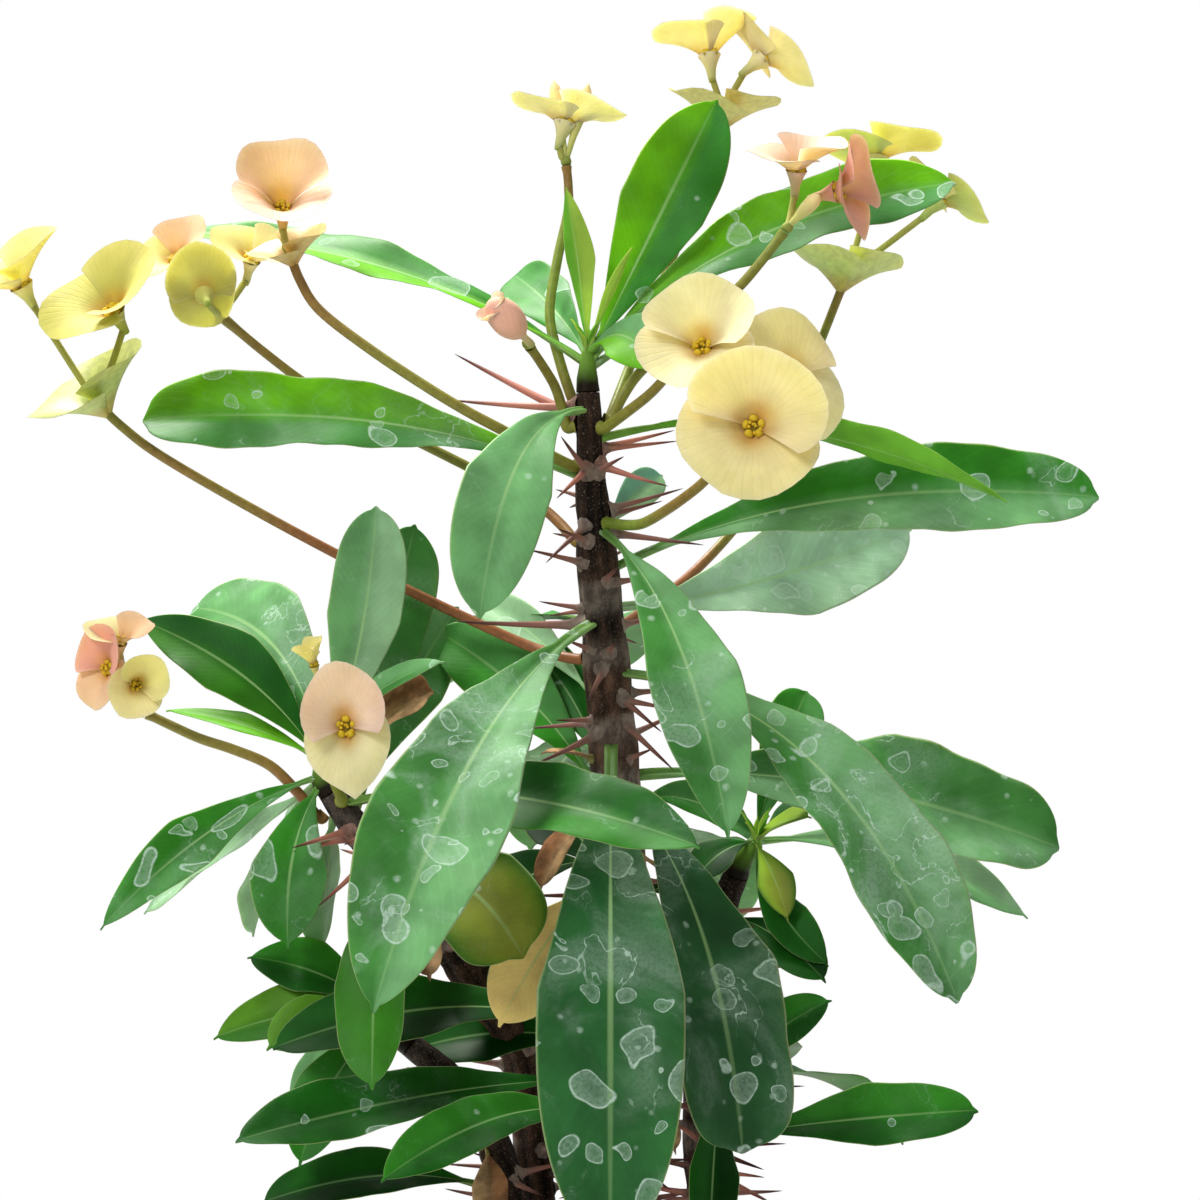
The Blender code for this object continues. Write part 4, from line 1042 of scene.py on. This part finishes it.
def neck_patch(foot, facing, deep, span, colour):
    """The neck of a bloom: a profile closed at its foot, that widens to a tenth of the bloom's span."""
    profile = [(0.01, -0.9), (1.15, -0.8), (1.4, 0.8), (0.045 * span, 0.45 * deep), (0.07 * span, 0.75 * deep),
               (0.1 * span, deep)]
    share = np.linspace(0, 1, len(profile))[:, None, None]
    return patch(turned(profile, foot, facing, 16), mix(rgb("#94a84c"), rgb(BRACTS[colour]), share))


def flower_head(name):
    """A head's blooms on their foot stalks, as one piece."""
    _, _, _, fork, blooms, buds, _, _ = HEADS[name]
    line = stalk_knots(name)
    going = unit(line[-1] - line[-2])
    start = np.asarray(fork, float) + going * FOOT_GAP
    root = start + going * 1.5
    knot = [(0.01, 0), (1.6, 0.1), (1.9, 1.2), (1.6, 2.6), (1.2, 3.0), (0.01, 3.1)]
    patches = [patch(turned(knot, start, going, 14), rgb("#8f9a4a"))]
    for bloom in blooms:
        centre, facing, span = np.asarray(bloom[0], float), unit(np.asarray(bloom[1], float)), bloom[2]
        deep = min(9.0, 0.28 * span)
        neck = centre - facing * deep
        patches.append(neck_patch(neck, facing, deep, span, bloom[6]))
        bend = mix(root, neck, 0.5) - facing * 0.8
        rings, _ = sweep(curve_through([root, bend, neck + facing * 1.2], 6), np.full(13, FOOT_STALK), 10)
        patches.append(patch(rings, rgb("#a8a858")))
        patches.append(bract_patch(bloom, 1, bloom[6]))
        patches.append(bract_patch(bloom, -1, bloom[7], point=0.12 if name == "low_front" else 0.03))
        patches += bloom_centre(centre - facing * 0.035 * span, facing, span)
    if name == "bud_left":
        patches = patches[:3] + [ball(centre + facing * 5.5, facing, 8.6, 5.6, rgb("#efb8a0"), 16, 24)]
        patches += [bract_patch((centre + facing, facing, 23, 20, 64, 0.75), side, "blush") for side in (1, -1)]
    for tip in buds:
        rings, _ = sweep(curve_through([root, mix(root, np.array(tip), 0.5), tip], 6), BUD_RADII, 12)
        patches.append(patch(rings, mix(rgb("#b9c06a"), rgb(BRACTS["butter"]), BUD_SHARE[:, None, None])))
    return build(f"head_{name}_bracts", patches, BRACT, "head_" + name)


def flower_stalk(name):
    """A head's stalk from its stem to its fork, brown and ribbed low down and green above, with the pair of small
    leaves that some carry."""
    _, _, _, fork, _, _, under, colour = HEADS[name]
    knots = stalk_knots(name)
    line = curve_through(knots, 8)
    share = np.linspace(0, 1, len(line))
    swell = 0.35 * np.exp(-((share - 1) / 0.03) ** 2) + 0.5 * np.exp(-(share / 0.03) ** 2)
    turn = np.linspace(0, 2 * math.pi, STALK_SIDES, endpoint=False)
    radii = (mix(1.9, 1.5, share) + swell)[:, None] * (1 + 0.035 * np.cos(5 * turn))[None, :]
    rings, _ = sweep(line, radii, STALK_SIDES)
    warm = np.clip(noise(line, 30, 11) * 1.2 - 0.3 + STALK_WARMTH.get(name, 0.0) * (1 - share ** 3), 0, 1)
    tint = mix(rgb("#7d8f32"), rgb("#96603a"), warm[:, None, None])
    patches = [patch(rings, tint)]
    if under:
        upward = unit(knots[-1] - knots[-2])
        pair = (np.asarray(fork, float) - upward * 4.0, upward + (0, UNDER_LEAN[name], 0.6), under, 12, 26, 0.95)
        patches += [bract_patch(pair, side, colour) for side in (1, -1)]
    return build(f"stalk_{name}_skin", patches, STALK, "stalk_" + name)


for name in HEADS:
    flower_head(name)
    flower_stalk(name)
print("flower heads and stalks made")

# %% [markdown]
# ## Spines
#
# Spines are what gives this plant its name: thin reddish shafts with a dark point, on a broad grey foot. Most are
# placed by a rule, and the long ones that stand out in the photograph are listed. A spine is left out where it would
# run into a leaf or a stalk.

# %%
GOLDEN_ANGLE = math.radians(137.5)
SPINE_STEP = 7.4
SPINE_LENGTHS = (8, 30)
SPINE_CLEARANCE = 1.5
YOUNG_REACH = 26
# Each line gives a long spine's stem, its height on it and its tip
LONG_SPINES = table("""
    main_stem 419 -52 16 421
    main_stem 414 -50 22 438
    main_stem 401 22 -18 391
    main_stem 400 -14 -22 388
    main_stem 384 28 6 392
    main_stem 382 -18 -18 368
    main_stem 313 -22 -26 300
    main_stem 318 24 -24 300
    main_stem 405 26 2 408
    main_stem 378 34 -12 373
    main_stem 366 -24 -16 372
    main_stem 347 -48 -8 346
    main_stem 334 -4 -30 322
    main_stem 326 20 -22 312
    left_stem 286 -126 -38 307
    left_stem 280 -98 -40 276
    left_stem 272 -90 -34 256
""")


def keep_clear():
    """Points on every leaf, stalk and bract, which the spines stay away from."""
    near = []
    for piece in bpy.data.objects:
        if piece.type == "MESH" and piece.name.endswith(("_blade", "_leaves", "_skin", "_bracts")):
            places = np.empty(len(piece.data.vertices) * 3)
            piece.data.vertices.foreach_get("co", places)
            near.append(places.reshape(-1, 3)[::2] / MM)
    return np.concatenate(near)


def spine_patch(foot, out, length, curl, young):
    """One spine: a broad grey foot, a thin slightly bent shaft and a dark point."""
    side = square_to(out, UP)
    share = np.array([0, 0.03, 0.07, 0.12, 0.2, 0.35, 0.55, 0.78, 0.94, 1.0])
    line = foot + out * (share * length)[:, None] + side * (curl * length * share ** 2)[:, None]
    radii = np.array([3.0, 2.4, 1.6, 1.15, 0.92, 0.76, 0.58, 0.38, 0.18, 0.05]) * (0.8 + length / 60)
    rings, _ = sweep(line, radii, 8)
    root, shaft = (rgb("#8a6a60"), rgb("#c07c6c")) if young else (rgb("#8a7a70"), rgb("#94655a"))
    tint = mix(root, shaft, step(0.03, 0.3, share)[:, None])
    tint = mix(tint, rgb("#3c1614"), step(0.5 if young else 0.35, 1.0, share)[:, None])
    return patch(rings, tint[:, None, :], rough=(0.8 * (1 - step(0.0, 0.3, share)))[:, None])


def clear_of(places, near):
    """True where none of the places comes close to anything in near."""
    low, high = places.min(0) - 4, places.max(0) + 4
    close = near[np.all((near > low) & (near < high), axis=1)]
    if not len(close):
        return True
    return np.linalg.norm(places[:, None] - close[None], axis=2).min() > SPINE_CLEARANCE


def spine_places(name):
    """The height, the way and the length of each spine that a stem could carry: a pair at every step, turned by the
    golden angle from the last, and the long ones."""
    path = STEMS[name][0]
    low, high = SOIL_TOP + 12, path[-1][2] - 3
    wanted = []
    for index in range(int((high - low) / SPINE_STEP)):
        for side in (-1, 1):
            bearing = index * GOLDEN_ANGLE + side * 0.40 + chance.uniform(-0.12, 0.12)
            way = unit(np.array([math.cos(bearing), math.sin(bearing), chance.uniform(-0.2, 0.35)]))
            wanted.append((low + index * SPINE_STEP + chance.uniform(-1, 1), way, chance.uniform(*SPINE_LENGTHS)))
    for stem, at, *tip in LONG_SPINES:
        if stem == name:
            core, _, thick = stem_at(name, at)
            way = np.array(tip) - core
            wanted.append((at, unit(way), np.linalg.norm(way) - thick))
    return wanted


def spine_patches(name, near):
    """The stem's spines that stay clear of all that is near."""
    made = []
    for at, way, length in spine_places(name):
        core, _, thick = stem_at(name, at)
        reach = core + way * (thick + length * np.linspace(0.05, 1, 12))[:, None]
        if clear_of(reach, near):
            young = at > STEMS[name][0][-1][2] - YOUNG_REACH
            curl = chance.uniform(-0.05, 0.05)
            made.append(spine_patch(core + way * (thick - 1.2), way, length + 1.2, curl, young))
    return made


print(len(LONG_SPINES), "long spines listed")

# %% [markdown]
# ## Bark
#
# The bark is a tube whose radius rises in low ribs and knobs. Its colour runs from nearly black to brown with a random
# grain, painted shade makes its hollows between the ribs and knobs the darkest, its old patches are grey, and it
# darkens towards the top.

# %%
BARK_SIDES = 56


def woody_stem(name, near):
    """A stem's bark with its ribs and leaf scars, and all its spines. Round the stem its radius gains
    0.42 cos(7 a)^3, with a the bearing, and two noises."""
    path, radii = STEMS[name]
    line = curve_through(stem_line(name)[0], 14)
    radius = np.interp(line[:, 2], [p[2] for p in path], radii)
    turn = np.linspace(0, 2 * math.pi, BARK_SIDES, endpoint=False)[None, :]
    height = line[:, 2][:, None]
    below_top = line[-1, 2] - height
    ribs = 0.42 * np.cos(7 * turn + 0.035 * height + 1.4 * np.sin(height / 23)) ** 3
    rings, out = sweep(line, np.full(len(line), 1.0), BARK_SIDES)
    grain = noise(rings * (4, 4, 0.6), 9, 2)
    knobs = noise(rings * (6, 6, 2.2), 16, 6)
    skin = radius[:, None] - 0.5 + (ribs + 1.1 * (grain - 0.5) + 1.0 * (knobs - 0.5)) * step(0, 14, below_top)
    # Random grain, and painted shade: the colour darkens where the ribs and knobs sink into hollows.
    shade = np.clip(0.5 + 0.9 * (grain - 0.5) + 0.8 * ribs + 0.6 * (knobs - 0.5), 0, 1)[..., None]
    tint = mix(rgb("#100805"), rgb("#654a3b"), shade)
    tint = mix(tint, rgb("#8f8278"), 0.75 * step(0.60, 0.78, noise(rings, 11, 15))[..., None])
    tint = tint * (1 - 0.72 * step(110, 20, below_top))[..., None]
    cap = turned([(radius[-1] - 0.5, 0), (radius[-1] * 0.6, 0.2), (0.01, 0.25)], line[-1] - (0, 0, 0.1),
                 line[-1] - line[-2], BARK_SIDES)
    bark = [patch(line[:, None, :] + out * skin[..., None], tint, rough=1.0), patch(cap, rgb("#14100a"), rough=1.0)]
    spines = spine_patches(name, near)
    build(name + "_bark", bark + spines, BARK, name)
    return len(spines)


near = keep_clear()
for name in STEMS:
    print(name, "with", woody_stem(name, near), "spines")

# %% [markdown]
# ## The pot
#
# The photograph ends above the pot, so it is a plain clay one: a profile turned round its axis, with a rolled rim.

# %%
POT_HEIGHT, POT_BASE, POT_TOP, POT_WALL, POT_FLOOR, RIM_HEIGHT, RIM_STEP = 130, 56, 74, 4.5, 6, 22, 4
LIP_DEPTH = 8
POT_SIDES = 128


def clay_pot():
    """The pot's profile from the middle of its floor, up its inside, over its rim and down to its underside."""
    rim, under_rim = POT_TOP + RIM_STEP, POT_HEIGHT - RIM_HEIGHT
    inner_top, inner_base = POT_TOP - POT_WALL, POT_BASE - POT_WALL
    corner = np.linspace(0, math.pi / 2, 6)
    lip_in = [(inner_top + 1 + 1.4 * (1 - math.cos(a)), POT_HEIGHT - 1.4 + 1.4 * math.sin(a)) for a in corner]
    lip_out = [(rim - 1.6 + 1.6 * math.sin(a), POT_HEIGHT - 1.6 + 1.6 * math.cos(a)) for a in corner]
    tuck = [(rim - 1.2, under_rim + 1.2), (rim - 1.6, under_rim + 0.3), (rim - 2.4, under_rim),
            (POT_TOP - 1.4, under_rim), (POT_TOP - 2.1, under_rim - 0.6)]
    foot = [(POT_BASE + 0.6, 3.0), (POT_BASE + 0.1, 1.0), (POT_BASE - 1.0, 0.0), (0.5, 0.0)]
    wall = [(float(r), float(z)) for r, z in zip(np.linspace(POT_TOP - 2.1, POT_BASE + 0.6, 14)[1:-1],
                                                 np.linspace(under_rim - 0.6, 3.0, 14)[1:-1])]
    profile = [(0.5, POT_FLOOR), (inner_base, POT_FLOOR), (inner_top, POT_HEIGHT - LIP_DEPTH), *lip_in, *lip_out, *tuck,
               *wall, *foot]
    points = turned(profile, (0, 0, 0), UP, POT_SIDES)
    build("pot_clay", [patch(points, rgb("#b5633f"))], CLAY, "pot")


clay_pot()
print("pot made, rim", 2 * (POT_TOP + RIM_STEP), "mm across")

# %% [markdown]
# ## The soil
#
# Potting soil is a low dome that meets the pot's wall, roughened with three sizes of noise. Crumbs and pale flecks
# lie on it.

# %%
CRUMBS = 260
PALE_EVERY = 9
SOIL_RINGS, SOIL_SIDES = 46, 150
DOME_HEIGHT = 4
SOIL_EDGE = SOIL_TOP - 1.4


def potting_soil():
    """The soil: a rough dome that meets the pot's wall, with crumbs and pale flecks lying on it."""
    inner_base, inner_top = POT_BASE - POT_WALL - SEAT_GAP, POT_TOP - POT_WALL - SEAT_GAP
    edge = mix(inner_base, inner_top, (SOIL_TOP - POT_FLOOR) / (POT_HEIGHT - LIP_DEPTH - POT_FLOOR))
    radius = np.linspace(0.2, edge, SOIL_RINGS)
    turn = np.linspace(0, 2 * math.pi, SOIL_SIDES, endpoint=False)
    x, y = radius[:, None] * np.cos(turn), radius[:, None] * np.sin(turn)
    flat = np.stack([x, y, 0 * x], axis=-1)
    dome = SOIL_TOP + DOME_HEIGHT * (1 - (radius / edge) ** 2)[:, None]
    rough = (noise(flat, 9, 1) - 0.5) * 2.6 + (noise(flat, 3.4, 4) - 0.5) * 2.0 + (noise(flat, 1.6, 7) - 0.5) * 1.0
    top = dome - 1.4 + rough * step(0, 6, edge - radius)[:, None]
    points = np.stack([x, y, top], axis=-1)
    side = turned([(edge, SOIL_EDGE), (inner_base, POT_FLOOR + SEAT_GAP), (0.2, POT_FLOOR + SEAT_GAP)],
                  (0, 0, 0), UP, 48)
    tint = mix(rgb("#241912"), rgb("#4a372a"), noise(flat, 5, 9)[..., None])
    patches = [patch(points, tint), patch(side, rgb("#2a1d15"))]
    for index in range(CRUMBS):
        far, bearing = edge * 0.95 * math.sqrt(chance.uniform(0.02, 1)), chance.uniform(0, 2 * math.pi)
        place = np.array([far * math.cos(bearing), far * math.sin(bearing), 0])
        place[2] = SOIL_TOP + DOME_HEIGHT * (1 - (far / edge) ** 2) - 0.9
        size = chance.uniform(0.7, 1.9)
        colour = rgb("#3a2a1f" if index % PALE_EVERY else "#cfc8ba")
        patches.append(ball(place, chance.normal(size=3), size * 1.3, size, colour, 5, 7))
    build("soil_surface", patches, SOIL, "soil")


potting_soil()
print("soil made with", CRUMBS, "crumbs")

# %% [markdown]
# ## The floor
#
# A pale matt disc catches the pot's shadow. It is part of the stage and not of the plant.

# %%
FLOOR_RADIUS = 620
FLOOR_SIDES = 96
floor_mesh = bpy.data.meshes.new("floor")
ring = np.linspace(0, 2 * math.pi, FLOOR_SIDES, endpoint=False)
edge = np.column_stack([np.cos(ring), np.sin(ring), 0 * ring]) * FLOOR_RADIUS * MM
floor_mesh.from_pydata(edge, [], [list(range(FLOOR_SIDES))])
floor = bpy.data.objects.new("floor", floor_mesh)
floor.location.z = -0.0002
bpy.context.scene.collection.objects.link(floor)
pale = bpy.data.materials.new("pale floor")
pale.use_nodes = True
pale.node_tree.nodes["Principled BSDF"].inputs["Base Color"].default_value = (0.86, 0.86, 0.85, 1)
pale.node_tree.nodes["Principled BSDF"].inputs["Roughness"].default_value = 0.8
floor_mesh.materials.append(pale)
print("floor made")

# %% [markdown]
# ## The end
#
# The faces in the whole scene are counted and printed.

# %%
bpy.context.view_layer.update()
faces = sum(len(o.data.polygons) for o in bpy.data.objects if o.type == "MESH")
print("faces in the scene:", faces)
